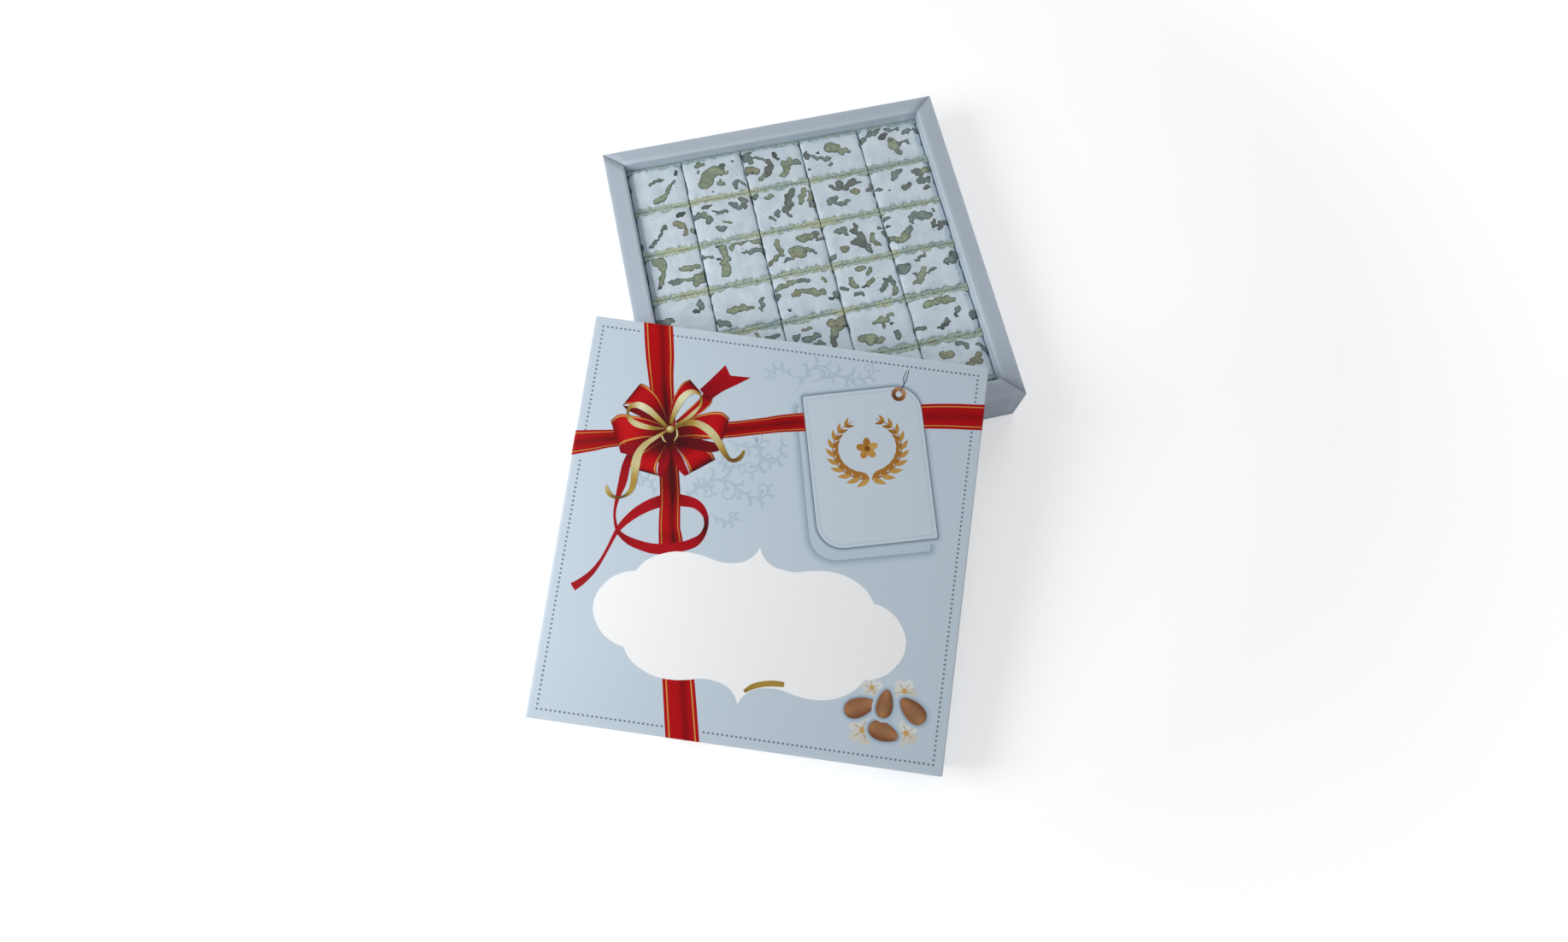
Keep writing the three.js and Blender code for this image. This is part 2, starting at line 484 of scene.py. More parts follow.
def merged(batch, voxel):
    """The outer surface of a batch of overlapping shells, as points and faces."""
    mesh = bpy.data.meshes.new("merging")
    mesh.from_pydata(batch.points, [], batch.faces)
    holder = new_object("merging", mesh)
    union = holder.modifiers.new("union", "REMESH")
    union.mode = "VOXEL"
    union.voxel_size = voxel
    graph = bpy.context.evaluated_depsgraph_get()
    result = bpy.data.meshes.new_from_object(holder.evaluated_get(graph))
    points = np.zeros(len(result.vertices) * 3)
    result.vertices.foreach_get("co", points)
    faces = [tuple(polygon.vertices) for polygon in result.polygons]
    bpy.data.objects.remove(holder)
    bpy.data.meshes.remove(mesh)
    bpy.data.meshes.remove(result)
    return points.reshape(-1, 3), faces


# Tray

# Rows of points up a wall and round a fold, and stations along a wall
WALL_ROWS = 7
FOLD_STEPS = 4
WALL_STATIONS = 28
# How pale the board is painted: a painted highlight beside a fold and on it, and painted light down the inner
# wall
HIGHLIGHT_BESIDE_FOLD = 0.2
HIGHLIGHT_ON_FOLD = 0.5
LIGHT_DOWN_INNER_WALL = 1.0
# How far the middle of a wall bulges at its outer and inner face, and how far its rim sags
OUTER_BELLY = 0.2
INNER_BELLY = 0.35
RIM_SAG = 0.12
# Depth of a wall's rim and faces within which their points bulge or sag
FACE_DEPTH = 1.0
# Share of a mitre's gap that is open at the outer corner
MITRE_START = 0.4
# Rounding of the board's cut edges, and the gap between the base and the outer walls
CUT_FOLD = 0.2
BASE_GAP = 0.05


def fold_rows(centre, start, radius):
    """Rows of a wall section round a fold, from a start angle on through a quarter turn."""
    rows = []
    for step in range(1, FOLD_STEPS + 1):
        angle = math.radians(start - 90 * step / FOLD_STEPS)
        pair = []
        for reach in (radius, radius - BOARD):
            pair.append((centre + reach * math.cos(angle), TRAY_HEIGHT - radius + reach * math.sin(angle)))
        rows.append((*pair, HIGHLIGHT_ON_FOLD if step < FOLD_STEPS else HIGHLIGHT_BESIDE_FOLD))
    return rows


def wall_section(rim):
    """Rows over a hollow wall's board: a point on each face, as inset and height, and how pale it is painted,
    which gives a painted highlight at the folds and painted light down the inner wall.
    """
    rows = [((0.0, z), (BOARD, z), 0.0) for z in np.linspace(0.0, TRAY_HEIGHT - FOLD, WALL_ROWS)]
    rows[-1] = (*rows[-1][:2], HIGHLIGHT_BESIDE_FOLD)
    rows += fold_rows(FOLD, 180, FOLD)
    for share in (0.25, 0.5, 0.75, 1.0):
        inset = FOLD + share * (rim - FOLD - INNER_FOLD)
        pale_share = HIGHLIGHT_BESIDE_FOLD if share == 1.0 else 0.0
        rows.append(((inset, TRAY_HEIGHT), (inset, TRAY_HEIGHT - BOARD), pale_share))
    rows += fold_rows(rim - INNER_FOLD, 90, INNER_FOLD)
    for z in np.linspace(TRAY_HEIGHT - INNER_FOLD, INNER_WALL_FOOT, WALL_ROWS)[1:]:
        rows.append(((rim, z), (rim - BOARD, z), LIGHT_DOWN_INNER_WALL))
    return rows


def tray_wall(name, rim, next_rims, turn, gaps, seed):
    """One hollow wall with a flat rim, along the side that faces the given way.

    Both ends are mitred to the next walls' rims, and the mitres gape by the given gaps.
    """
    rows = wall_section(rim)
    section = [row[0] for row in rows] + [row[1] for row in reversed(rows)]
    size = len(section)
    points = []
    for k in range(WALL_STATIONS + 1):
        share = k / WALL_STATIONS
        belly = math.sin(math.pi * share)
        for inset, z in section:
            gape = MITRE_START + (1 - MITRE_START) * inset / rim
            start = -TRAY_HALF + inset * next_rims[0] / rim + gaps[0] * gape
            end = TRAY_HALF - inset * next_rims[1] / rim - gaps[1] * gape
            along = start + (end - start) * share
            wave = ripple(along / 60, inset / 20, seed)
            outside, inside = inset < FACE_DEPTH, inset > rim - FACE_DEPTH
            on_rim = z > TRAY_HEIGHT - FACE_DEPTH and inset > FACE_DEPTH
            inward = inset + OUTER_BELLY * belly * outside * math.sin(math.pi * z / TRAY_HEIGHT)
            inward -= INNER_BELLY * belly * inside * (1 - z / TRAY_HEIGHT)
            sag = RIM_SAG * (1 + wave) * belly * on_rim
            points.append((along, inward - TRAY_HALF, z - sag))
    faces = tube_faces(WALL_STATIONS + 1, size)
    for base in (0, WALL_STATIONS * size):
        for i in range(len(rows) - 1):
            faces.append((base + i, base + i + 1, base + size - 2 - i, base + size - 1 - i))
    placed = Matrix.Rotation(math.radians(turn), 4, "Z")
    points = [tuple(placed @ Vector(p)) for p in points]
    # The fold attribute carries the painted highlight at the folds and the painted light down the inner wall
    pale_share = [row[2] for row in rows]
    values = {"fold": (pale_share + pale_share[::-1]) * (WALL_STATIONS + 1)}
    make_piece(name, points, faces, TRAY_CARD, "tray", True, values)


def make_tray():
    reach = TRAY_HALF - BOARD - BASE_GAP
    points, faces = soft_block((reach, reach, BOARD / 2), CUT_FOLD, (8.0, 8.0, 0.2))
    points += np.array((0, 0, BOARD / 2))
    values = {"fold": [0.0] * len(points)}
    base = make_piece("tray_base", points, faces, TRAY_CARD, "tray", True, values)
    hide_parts("tray")
    tray_wall("tray_wall_front", FRONT_RIM, (SIDE_RIM, SIDE_RIM), 0, (0.24, 0.36), 1.0)
    tray_wall("tray_wall_right", SIDE_RIM, (FRONT_RIM, BACK_RIM), 90, (0.36, 0.22), 2.0)
    tray_wall("tray_wall_back", BACK_RIM, (SIDE_RIM, SIDE_RIM), 180, (0.22, 0.34), 3.0)
    tray_wall("tray_wall_left", SIDE_RIM, (BACK_RIM, FRONT_RIM), 270, (0.34, 0.24), 4.0)


# Lid

PANEL_INSETS = (108, 80, 50, 24, 8, 2.5)
LID_FOLD_STEPS = 5
# How pale the print is painted: a painted highlight beside the fold and on it, and paler along the lower
# edges
LID_HIGHLIGHT_BESIDE = 0.4
LID_HIGHLIGHT_FOLD = 1.0
LID_PALE_EDGE = 0.8
# Rounding of the upright edges outside and inside, and of the fold under the panel
LID_OUTER_CORNER = 1.1
LID_INNER_CORNER = 0.3
CEILING_FOLD = 0.3
# Glue tabs: half their length, their gaps to the next wall, to their own wall, below and above, and how far
# each of their faces lies under the full thickness of the board
TAB_HALF = 11.0
TAB_END_GAP = 0.1
TAB_WALL_GAP = 0.47
TAB_FOOT = 0.4
TAB_HEAD = 0.5
TAB_THINNING = 0.02


def lid_points(points):
    """Points on the lid, across its top panel, up its slope and off its lower edges, in the row frame."""
    return [tuple(LID_PLACE @ Vector(p)) for p in points]


def turned(outline, angle, centre=(0, 0)):
    """An outline turned about the origin, then moved to a centre."""
    c, s = math.cos(math.radians(angle)), math.sin(math.radians(angle))
    return [(centre[0] + x * c - y * s, centre[1] + x * s + y * c) for x, y in outline]


def square_loop(half, radius, steps=20, corner_steps=4):
    """A square with rounded corners, as points along its outline."""
    flat = half - radius
    side = [(half, -flat + 2 * flat * k / steps) for k in range(steps)]
    for k in range(corner_steps):
        angle = math.radians(90 * k / corner_steps)
        side.append((flat + radius * math.cos(angle), flat + radius * math.sin(angle)))
    return [point for quarter in range(4) for point in turned(side, 90 * quarter)]


def wall_pull(along, level):
    """How far a wall is drawn in at a place along it, which is most in its middle."""
    edge = along / LID_HALF
    return WALL_PULL * (1 - edge * edge) * math.sin(math.pi * WALL_WAVE * (1 - level / LID_HEIGHT))


def lid_rows():
    """Rows over the lid's board as inset, height and paleness, which is a painted highlight at the fold and
    paler lower edges: those of the printed face, then of the inside.
    """
    ceiling = LID_HEIGHT - BOARD
    outside = [(inset, LID_HEIGHT, 0.0) for inset in PANEL_INSETS]
    outside.append((LID_FOLD, LID_HEIGHT, LID_HIGHLIGHT_BESIDE))
    for step in range(1, LID_FOLD_STEPS + 1):
        angle = math.radians(90 * step / LID_FOLD_STEPS)
        pale_share = LID_HIGHLIGHT_FOLD if step < LID_FOLD_STEPS else LID_HIGHLIGHT_BESIDE
        level = LID_HEIGHT - LID_FOLD * (1 - math.cos(angle))
        outside.append((LID_FOLD * (1 - math.sin(angle)), level, pale_share))
    outside += [(0.0, z, 0.0) for z in np.linspace(LID_HEIGHT - LID_FOLD, 0.25, 8)[1:]]
    outside += [(inset, z, LID_PALE_EDGE) for inset, z in ((0.08, 0.06), (0.2, 0.0), (BOARD - 0.15, 0.0))]
    inside = [(BOARD, z, 0.0) for z in np.linspace(0.2, ceiling - CEILING_FOLD, 7)]
    inside += [(inset, ceiling, 0.0) for inset in (BOARD + CEILING_FOLD, *reversed(PANEL_INSETS))]
    return outside, inside


def make_lid():
    outside, inside = lid_rows()
    rows = outside + inside
    points = []
    for inset, z, _ in rows:
        on_wall = z < LID_HEIGHT - 1 and inset < 1
        for x, y in square_loop(LID_HALF - inset, max(LID_INNER_CORNER, LID_OUTER_CORNER - inset)):
            pull = wall_pull(min(abs(x), abs(y)), z) if on_wall else 0.0
            shrink = 1 - pull / LID_HALF
            points.append((x * shrink, y * shrink, z))
    size = len(points) // len(rows)
    faces = tube_faces(len(rows), size)
    faces += [tuple(range(size)), tuple(range(len(points) - size, len(points)))]
    sides = [0] * (len(outside) * size) + [1] * ((len(inside) - 1) * size) + [0, 1]
    cards = [LID_CARD, LID_INSIDE_CARD]
    values = {"fold": np.repeat([row[2] for row in rows], size)}
    shell = make_piece("lid_shell", lid_points(points), faces, cards, "lid", True, values, sides)
    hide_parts("lid")
    tabs = Batch()
    half = (TAB_HALF, BOARD / 2 - TAB_THINNING, (LID_HEIGHT - BOARD - TAB_FOOT - TAB_HEAD) / 2)
    tab, tab_faces = soft_block(half, CUT_FOLD, (3.0, 0.2, 4.0))
    across = LID_HALF - BOARD - TAB_HALF - TAB_END_GAP
    up = LID_HALF - 1.5 * BOARD - TAB_WALL_GAP
    for x, y in ((-1, -1), (-1, 1), (1, -1), (1, 1)):
        tabs.add(lid_points(tab + np.array((x * across, y * up, half[2] + TAB_FOOT))), tab_faces)
    tabs.piece("lid_tabs", LID_INSIDE_CARD, "lid", "lid_board")


# Print on the lid. Its places run from the panel's centre: s to the right and t up the slope. Layers that
# cross lie at different levels, which are multiples of INK.


def panel_point(s, t, lift):
    """A place on the panel, which goes over the folds and down the walls beyond its edges."""
    flat = LID_HALF - LID_FOLD
    level = LID_HEIGHT + lift
    spots = []
    for value, along in ((s, t), (t, s)):
        beyond = abs(value) - flat
        if beyond <= 0:
            spots.append(value)
            continue
        angle = min(beyond / LID_FOLD, math.pi / 2)
        down = max(0.0, beyond - LID_FOLD * math.pi / 2)
        level = LID_HEIGHT - LID_FOLD + (LID_FOLD + lift) * math.cos(angle) - down
        out = flat + (LID_FOLD + lift) * math.sin(angle)
        if down > 1 - LID_FOLD:
            out -= wall_pull(along, level)
        spots.append(math.copysign(out, value))
    return (spots[0], spots[1], level)


def smooth_path(controls, steps=10):
    """Points along a smooth curve through control points, each with its further values."""
    controls = np.asarray(controls, float)
    padded = np.concatenate([[2 * controls[0] - controls[1]], controls, [2 * controls[-1] - controls[-2]]])
    path = []
    for k in range(len(controls) - 1):
        a, b, c, d = padded[k : k + 4]
        for u in np.arange(steps) / steps:
            curve = 2 * b + (c - a) * u + (2 * a - 5 * b + 4 * c - d) * u**2
            path.append(0.5 * (curve + (3 * b - a - 3 * c + d) * u**3))
    path.append(controls[-1])
    return np.array(path)


def ruled(batch, rungs, lift, columns=8, fold=None):
    """A printed face ruled between two edges, by rungs of (s, t) at both ends and a shade."""
    shares = np.linspace(0, 1, columns + 1)
    upper = np.zeros((len(rungs), columns + 1, 3))
    lower = upper.copy()
    shade = np.zeros((len(rungs), columns + 1))
    for i, (s0, t0, s1, t1, tone) in enumerate(rungs):
        for j, share in enumerate(shares):
            place = (s0 + (s1 - s0) * share, t0 + (t1 - t0) * share)
            upper[i, j] = panel_point(*place, lift)
            lower[i, j] = panel_point(*place, 0.0)
            shade[i, j] = tone + (fold(share) if fold else 0.0)
    points, faces = slab(upper, lower)
    across = [*np.tile(shares, len(rungs))] * 2
    batch.add(lid_points(points), faces, across=across, shade=[*shade.ravel()] * 2)


def strip(batch, path, lift, columns=6):
    """A printed band along a path of (s, t, width, shade)."""
    path = np.asarray(path, float)
    along = np.gradient(path[:, :2], axis=0)
    along /= np.maximum(np.linalg.norm(along, axis=1, keepdims=True), 1e-9)
    side = np.stack([-along[:, 1], along[:, 0]], 1) * path[:, 2:3] / 2
    ruled(batch, np.concatenate([path[:, :2] + side, path[:, :2] - side, path[:, 3:]], 1), lift, columns)


def patch(batch, outline, lift, shade=None):
    """A printed patch inside an outline on the flat of the panel."""
    points, faces = prism(outline, LID_HEIGHT + lift, LID_HEIGHT)
    values = {} if shade is None else {"across": [0.5] * len(points), "shade": [shade] * len(points)}
    batch.add(lid_points(points), faces, **values)


def ellipse(length, width, steps=16):
    turns = [2 * math.pi * k / steps for k in range(steps)]
    return [(length / 2 * math.cos(a), width / 2 * math.sin(a)) for a in turns]


def leaf(length, width, steps=8):
    """A pointed leaf along x from the origin."""
    shares = [k / steps for k in range(steps + 1)]
    upper = [(length * u, width / 2 * math.sin(math.pi * u**0.8) ** 1.1) for u in shares]
    return upper + [(x, -y) for x, y in reversed(upper[1:-1])]


def rounded_box(width, height, radii, steps=8):
    """A box outline with its own corner radius at each corner, from the upper right one anticlockwise."""
    outline = []
    signs = ((1, 1), (-1, 1), (-1, -1), (1, -1))
    for quarter, ((x, y), radius) in enumerate(zip(signs, radii)):
        for k in range(steps + 1):
            angle = math.radians(90 * quarter + 90 * k / steps)
            outline.append((
                x * (width / 2 - radius) + radius * math.cos(angle),
                y * (height / 2 - radius) + radius * math.sin(angle),
            ))
    return outline


# Middle line and width of the ribbons: the upright one by t, the level one by s
RIBBON_UPRIGHT = (
    (111.8, -75.8, 16.6), (95, -72.3, 16.3), (80, -69.2, 14.2), (50, -61.5, 11.5), (20, -54.5, 11.3),
    (0, -51.6, 11.9), (-9, -49.4, 13.4), (-50, -41, 15.8), (-85, -32.9, 17.6), (-111.8, -26.8, 18.2),
)
RIBBON_LEVEL = (
    (-111.8, 38.1, 14.0), (-100, 41.0, 12.0), (-88, 44.0, 9.8), (-59, 50.5, 9.0), (-28, 56.8, 9.2),
    (-10, 61.4, 9.4), (10, 66.3, 10.5), (78, 79.0, 13.9), (111.8, 83.0, 14.6),
)
WALL_DROP = 28.0
KNOT = (-59.6, 52.8)


def print_ribbons():
    """The two crossing ribbons, which run on down the lid's walls, with a dark fold along each."""
    band = Batch()
    over = [LID_HALF + beyond for beyond in (WALL_DROP, 12, 1.2, 0.5, 0, -0.5)]
    within = np.linspace(LID_HALF - 1.2, -(LID_HALF - 1.2), 90)
    along = [*over, *within, *(-place for place in reversed(over))]
    upright = smooth_path(RIBBON_UPRIGHT, 12)[::-1]
    level = smooth_path(RIBBON_LEVEL, 12)
    rungs = []
    for t in along:
        s, width = (np.interp(t, upright[:, 0], upright[:, k]) for k in (1, 2))
        by_bow = hump(t, KNOT[1] + 8, 20) + 1.3 * hump(t, 26, 17)
        by_curl = hump(t, -7, 4)
        rungs.append((s - width / 2, t, s + width / 2, t, 0.58 - 0.36 * by_bow - 0.25 * by_curl))
    ruled(band, rungs, INK * 5, 20, lambda share: 0.12 - 0.42 * hump(share, 0.62, 0.13))
    rungs = []
    for s in along[::-1]:
        t, width = (np.interp(s, level[:, 0], level[:, k]) for k in (1, 2))
        by_bow = hump(s, KNOT[0], 36) + 0.3 * hump(s, 4, 12)
        rungs.append((s, t + width / 2, s, t - width / 2, 0.56 - 0.5 * by_bow))
    ruled(band, rungs, INK * 8.5, 20, lambda share: 0.1 - 0.3 * hump(share, 0.5, 0.16))
    band.printed("ribbons", RIBBON_INK)


# Curled end of a ribbon: places on the panel with the band's width and shade. Its first part lies over the
# upright ribbon and the rest under it.
CURL_OVER = (
    (-78.5, 38, 3.6, 0.1), (-80.4, 30, 4.6, 0.45), (-81, 20, 4.6, 0.6), (-82.4, 10, 2.2, 0.62),
    (-82.4, 2, 1.4, 0.6), (-80.2, -5, 1.8, 0.6), (-77.4, -8.4, 2.6, 0.4), (-72, -11.4, 4.2, 0.5),
    (-65, -13.1, 5.0, 0.66), (-58, -13.8, 5.6, 0.7), (-50, -12.6, 5.6, 0.7), (-43, -10.6, 5.2, 0.66),
    (-37, -7.6, 5.2, 0.6), (-33.2, -3.4, 3.4, 0.3), (-31.7, 2, 2.4, 0.05), (-32.4, 7, 2.8, 0.3),
)
CURL_UNDER = (
    (-31.8, 4.5, 2.2, 0.15), (-32.6, 7.4, 2.8, 0.4), (-35.5, 11.2, 4.2, 0.62), (-40, 13.8, 5.4, 0.7),
    (-46, 14.4, 6.4, 0.5), (-52, 14.3, 6.5, 0.2), (-58, 12.6, 6.6, 0.35), (-64, 9.6, 6.2, 0.62),
    (-70, 5.2, 5.4, 0.66), (-75, 0, 4.2, 0.66), (-78.5, -5, 3.0, 0.66), (-80.5, -9.5, 2.2, 0.62),
    (-83, -17, 1.7, 0.6), (-85.6, -24, 1.9, 0.56), (-89, -30.5, 2.8, 0.5), (-93.5, -36, 3.8, 0.56),
    (-98.3, -40.3, 4.7, 0.62),
)
# Forked end of a ribbon, as rungs like those of the bow's faces, and the foot of its notch
FORKED_TAIL = (
    (-46.8, 77.4, -40.4, 72.0, 0.3), (-41, 84.8, -34, 78, 0.5), (-35.8, 91.8, -26, 83.4, 0.62),
    (-34.7, 93.2, -19.6, 88.0, 0.6),
)
FORK_NOTCH = (-31.2, 87.6)

# Faces of the bow's loops from back to front. A rung crosses a face from one edge to the other: both its ends
# on the panel, then the shade there. Inner faces carry no lines.
BOW_FACES = (
    ("inner", (
        (-88, 62.6, -85.4, 60.4, 0.1), (-79, 62, -77, 57.6, 0.24), (-64, 55.6, -66, 53.4, 0.1),
    )),
    ("outer", (
        (-61.8, 57, -63.5, 55.8, 0.05), (-65, 63.5, -70, 60.2, 0.16), (-69.5, 70, -77.5, 62.8, 0.5),
        (-74.5, 74.2, -83, 63.6, 0.72), (-78.4, 76.1, -86.4, 63.4, 0.46), (-80.4, 76.2, -88.2, 62.4, 0.0),
    )),
    ("outer", (
        (-44.6, 75.4, -38.9, 73.4, 0.1), (-47, 71, -39.8, 69.4, 0.5), (-52, 64.6, -46, 62.6, 0.6),
        (-57.5, 57.5, -56, 56.5, 0.1),
    )),
    ("outer", (
        (-61.2, 57.5, -59.2, 57, 0.1), (-60.9, 68, -57.3, 65.5, 0.42), (-59, 75.5, -53.6, 71.6, 0.7),
        (-56.6, 80, -48.6, 75, 0.5), (-53.2, 82.3, -45.4, 75.2, 0.0),
    )),
    ("inner", (
        (-86.2, 39, -84.6, 36, 0.34), (-80, 43.2, -79, 35.8, 0.44), (-72, 45.6, -71, 38.2, 0.2),
        (-63, 47, -62, 44, 0.0),
    )),
    ("outer", (
        (-62.5, 46, -60.2, 44.6, 0.0), (-69, 41, -62, 39, 0.14), (-75.5, 35.5, -63.4, 34, 0.66),
        (-78.6, 31.2, -63.8, 29.6, 0.72), (-77.4, 28.2, -62.2, 26.2, 0.0),
    )),
    ("inner", (
        (-60.2, 44.4, -59.2, 44.6, 0.05), (-62.5, 36, -57.2, 38.4, 0.3), (-62.9, 30, -57.6, 32.5, 0.5),
        (-62.2, 26.4, -59.6, 25.6, 0.34),
    )),
    ("outer", (
        (-55.5, 45.6, -56.8, 44.4, 0.0), (-47, 44.2, -51.8, 40.4, 0.3), (-40, 44.2, -48.6, 36.4, 0.74),
        (-35.2, 43, -46.2, 32.6, 0.5), (-32.2, 39.4, -45, 29.9, 0.0),
    )),
    ("inner", (
        (-56.6, 44.2, -57.4, 44, 0.05), (-51.6, 39.6, -55.4, 36.6, 0.34), (-48, 34, -51.4, 31, 0.56),
        (-45.2, 29.6, -47.6, 28, 0.4),
    )),
    ("inner", (
        (-55.5, 48.6, -56, 44.5, 0.0), (-46, 49.6, -45, 43.4, 0.1), (-37, 49, -36, 43, 0.2),
        (-30.6, 48.4, -31.2, 44.4, 0.1),
    )),
    ("outer", (
        (-64, 54.8, -64, 47.3, 0.05), (-73, 57, -72, 46.2, 0.36), (-82, 57.6, -79, 43.8, 0.8),
        (-89, 57.3, -83.5, 41.6, 0.74), (-93.2, 53.2, -86.2, 39.2, 0.2),
    )),
    ("outer", (
        (-57, 55.5, -55.5, 48.8, 0.05), (-49, 60.8, -47, 50.4, 0.24), (-40, 65, -39, 50.8, 0.72),
        (-33, 66.2, -33.5, 50, 0.66), (-28, 63.4, -30.5, 48.8, 0.14),
    )),
)
# Narrow gold loops, as rungs, and gold strips, as places with width and shade
GOLD_FACES = (
    (
        (-61.2, 54.6, -62.6, 53.6, 0.2), (-67, 59.6, -69.2, 57.6, 0.6), (-72, 63.4, -74, 60.4, 0.8),
        (-77.4, 65.6, -78, 62, 1.0), (-81.6, 65.2, -80.8, 62.2, 0.7), (-84.6, 62.4, -83.2, 61.2, 0.35),
        (-85.2, 58.8, -84, 58.8, 0.2), (-83.6, 54.6, -82.2, 56.6, 0.6), (-79.6, 51.8, -79, 55, 0.8),
        (-74, 50.9, -74, 53.9, 0.74), (-68, 51.2, -68.4, 53.2, 0.3), (-62.2, 52.6, -62.4, 53.4, 0.2),
    ),
    (
        (-60.6, 56, -59, 56, 0.2), (-60, 63, -57.4, 62, 0.6), (-58.4, 70, -54.8, 68.6, 0.92),
        (-55.6, 74.4, -52.6, 72.4, 1.0), (-51.6, 76.7, -50, 74.4, 0.74), (-47.4, 75.8, -47, 74.2, 0.4),
        (-44.5, 72.4, -45.6, 72, 0.2), (-44.4, 68.6, -45.8, 68.6, 0.5), (-46.6, 64.2, -48.4, 65, 0.8),
        (-50.4, 59.6, -52, 60.8, 0.6), (-55.5, 56, -57, 56.2, 0.2),
    ),
)
GOLD_TAILS = (
    (
        (-61.6, 51.6, 1.0, 0.3), (-66.5, 47.4, 2.0, 0.7), (-71, 43.4, 3.0, 0.66), (-73.8, 39.4, 3.8, 0.7),
        (-75.2, 35, 4.6, 0.76), (-75.4, 30, 4.8, 0.76), (-75.1, 25, 3.9, 0.56), (-75, 20, 3.3, 0.46),
        (-76, 15.6, 2.6, 0.5), (-79, 12.4, 1.4, 0.1), (-83.4, 11.2, 1.6, 0.1), (-87.4, 12.9, 2.4, 0.5),
        (-89.6, 17, 1.5, 0.7),
    ),
    (
        (-57.4, 54.2, 1.2, 0.2), (-52, 57.2, 3.0, 0.2), (-46, 58.1, 3.6, 0.6), (-40, 56.2, 4.2, 0.8),
        (-35, 52.6, 4.2, 0.76), (-31, 48, 3.6, 0.6), (-27.6, 43.4, 2.8, 0.3), (-24.4, 40.5, 2.0, 0.1),
        (-21.4, 40.4, 2.2, 0.1), (-18.6, 42.8, 2.2, 0.2), (-17.2, 46.4, 1.3, 0.3),
    ),
    (
        (-63.6, 48.8, 0.7, 0.8), (-62.6, 46.8, 0.9, 0.8), (-60.8, 45.3, 0.6, 0.5),
    ),
    (
        (-56.2, 53.6, 0.7, 0.7), (-55.2, 50, 0.9, 0.85), (-56.4, 46.6, 0.6, 0.5),
    ),
    (
        (1.9, -82.3, 1.6, 0.3), (6, -79.2, 2.8, 0.4), (11.5, -77.1, 3.0, 0.44), (17, -76.1, 3.0, 0.44),
        (22.4, -75.9, 2.6, 0.4),
    ),
)


def print_bow():
    """A bow of red loops with gold lines, two narrow gold loops, a knot and curled ends."""
    plain = Batch()
    strip(plain, smooth_path(CURL_UNDER), INK * 3)
    strip(plain, smooth_path(CURL_OVER), INK * 6)
    tail_steps = 8
    tail = smooth_path(FORKED_TAIL, tail_steps)
    fork = tail[-1 - tail_steps]
    ruled(plain, tail[:-tail_steps], INK * 5)
    for edge in (0, 2):
        prong = [
            (*fork[edge : edge + 2], *fork[:4].reshape(2, 2).mean(0), fork[4]),
            (*tail[-1][edge : edge + 2], *FORK_NOTCH, tail[-1][4]),
        ]
        ruled(plain, prong, INK * 5)
    lined = Batch()
    for order, (side, rungs) in enumerate(BOW_FACES):
        ruled(plain if side == "inner" else lined, smooth_path(rungs), INK * (8 + order), 14)
    knot = turned(ellipse(6.6, 10.6, 24), 0, (KNOT[0] + 0.4, KNOT[1] - 4.6))
    patch(plain, knot, INK * 21, 0.02)
    plain.printed("bow_insides", CURL_INK)
    lined.printed("bow", BOW_INK)
    gold = Batch()
    for order, path in enumerate(GOLD_TAILS):
        strip(gold, smooth_path(path), INK * (22 + order))
    for order, rungs in enumerate(GOLD_FACES):
        ruled(gold, smooth_path(rungs), INK * (27 + order), 6)
    for order, (size, shade) in enumerate(((4.8, 0.3), (3.8, 0.6), (1.8, 0.95))):
        ball = turned(ellipse(size, size * 0.86, 20), 20, (KNOT[0] - 0.25 * order, KNOT[1] + 0.25 * order))
        patch(gold, ball, INK * (29 + order), shade)
    gold.printed("gold", GOLD_INK)


# Beads of the border: their inset from the panel's edges, pitch, size and gap to a ribbon
BEAD_INSET = 5.6
BEAD_PITCH = 2.5
BEAD_SIZE = 1.3
BEAD_GAP = 0.4


def ribbon_covers(s, t):
    """True where a ribbon hides the beaded border."""
    for ribbon, along, across in ((RIBBON_UPRIGHT, t, s), (RIBBON_LEVEL, s, t)):
        for end, middle, width in (ribbon[0], ribbon[-1]):
            if along * end > 100 * abs(end) and abs(across - middle) < width / 2 + BEAD_GAP:
                return True
    return False


def print_border():
    """A row of small beads along the panel's edges, each with a glint."""
    beads = Batch()
    glints = Batch()
    reach = LID_HALF - BEAD_INSET
    count = round(2 * reach / BEAD_PITCH)
    for k in range(count):
        along = -reach + 2 * reach * k / count
        for s, t in ((along, reach), (reach, -along), (-along, -reach), (-reach, along)):
            if ribbon_covers(s, t):
                continue
            patch(beads, turned(ellipse(BEAD_SIZE, BEAD_SIZE * 0.9, 12), 20, (s, t)), INK * 2, 0.9)
            patch(glints, turned(ellipse(0.45, 0.32, 8), 30, (s + 0.2, t + 0.26)), INK * 3)
    beads.printed("beads", BEAD_INK)
    glints.printed("bead_glints", GLINT_INK)


# Pale scrolls behind the print: start, heading, length, way of turning and width
SCROLLS = (
    (7, 84, 70, 38, -1, 1.5), (14, 90, 25, 44, -1, 1.6), (32, 96, -5, 30, 1, 1.3), (5, 91, 150, 26, 1, 1.2),
    (-27, 51, -15, 34, 1, 1.4), (-12, 55, -65, 36, -1, 1.5), (2, 58, -80, 30, -1, 1.4),
    (-15, 40, 210, 24, -1, 1.2), (-46, 13, 60, 30, -1, 1.4), (-45, 18, 40, 48, -1, 1.6),
    (-21, 27, -30, 36, 1, 1.5), (-62, 14, 110, 24, 1, 1.2), (-30, 9, -25, 24, 1, 1.2),
)
# Bend of a stem at its end, as degrees over its whole length, steps along it, and rise from stroke to stroke
SCROLL_TURN = 1200
SCROLL_STEPS = 60
SCROLL_RISE = 0.0004
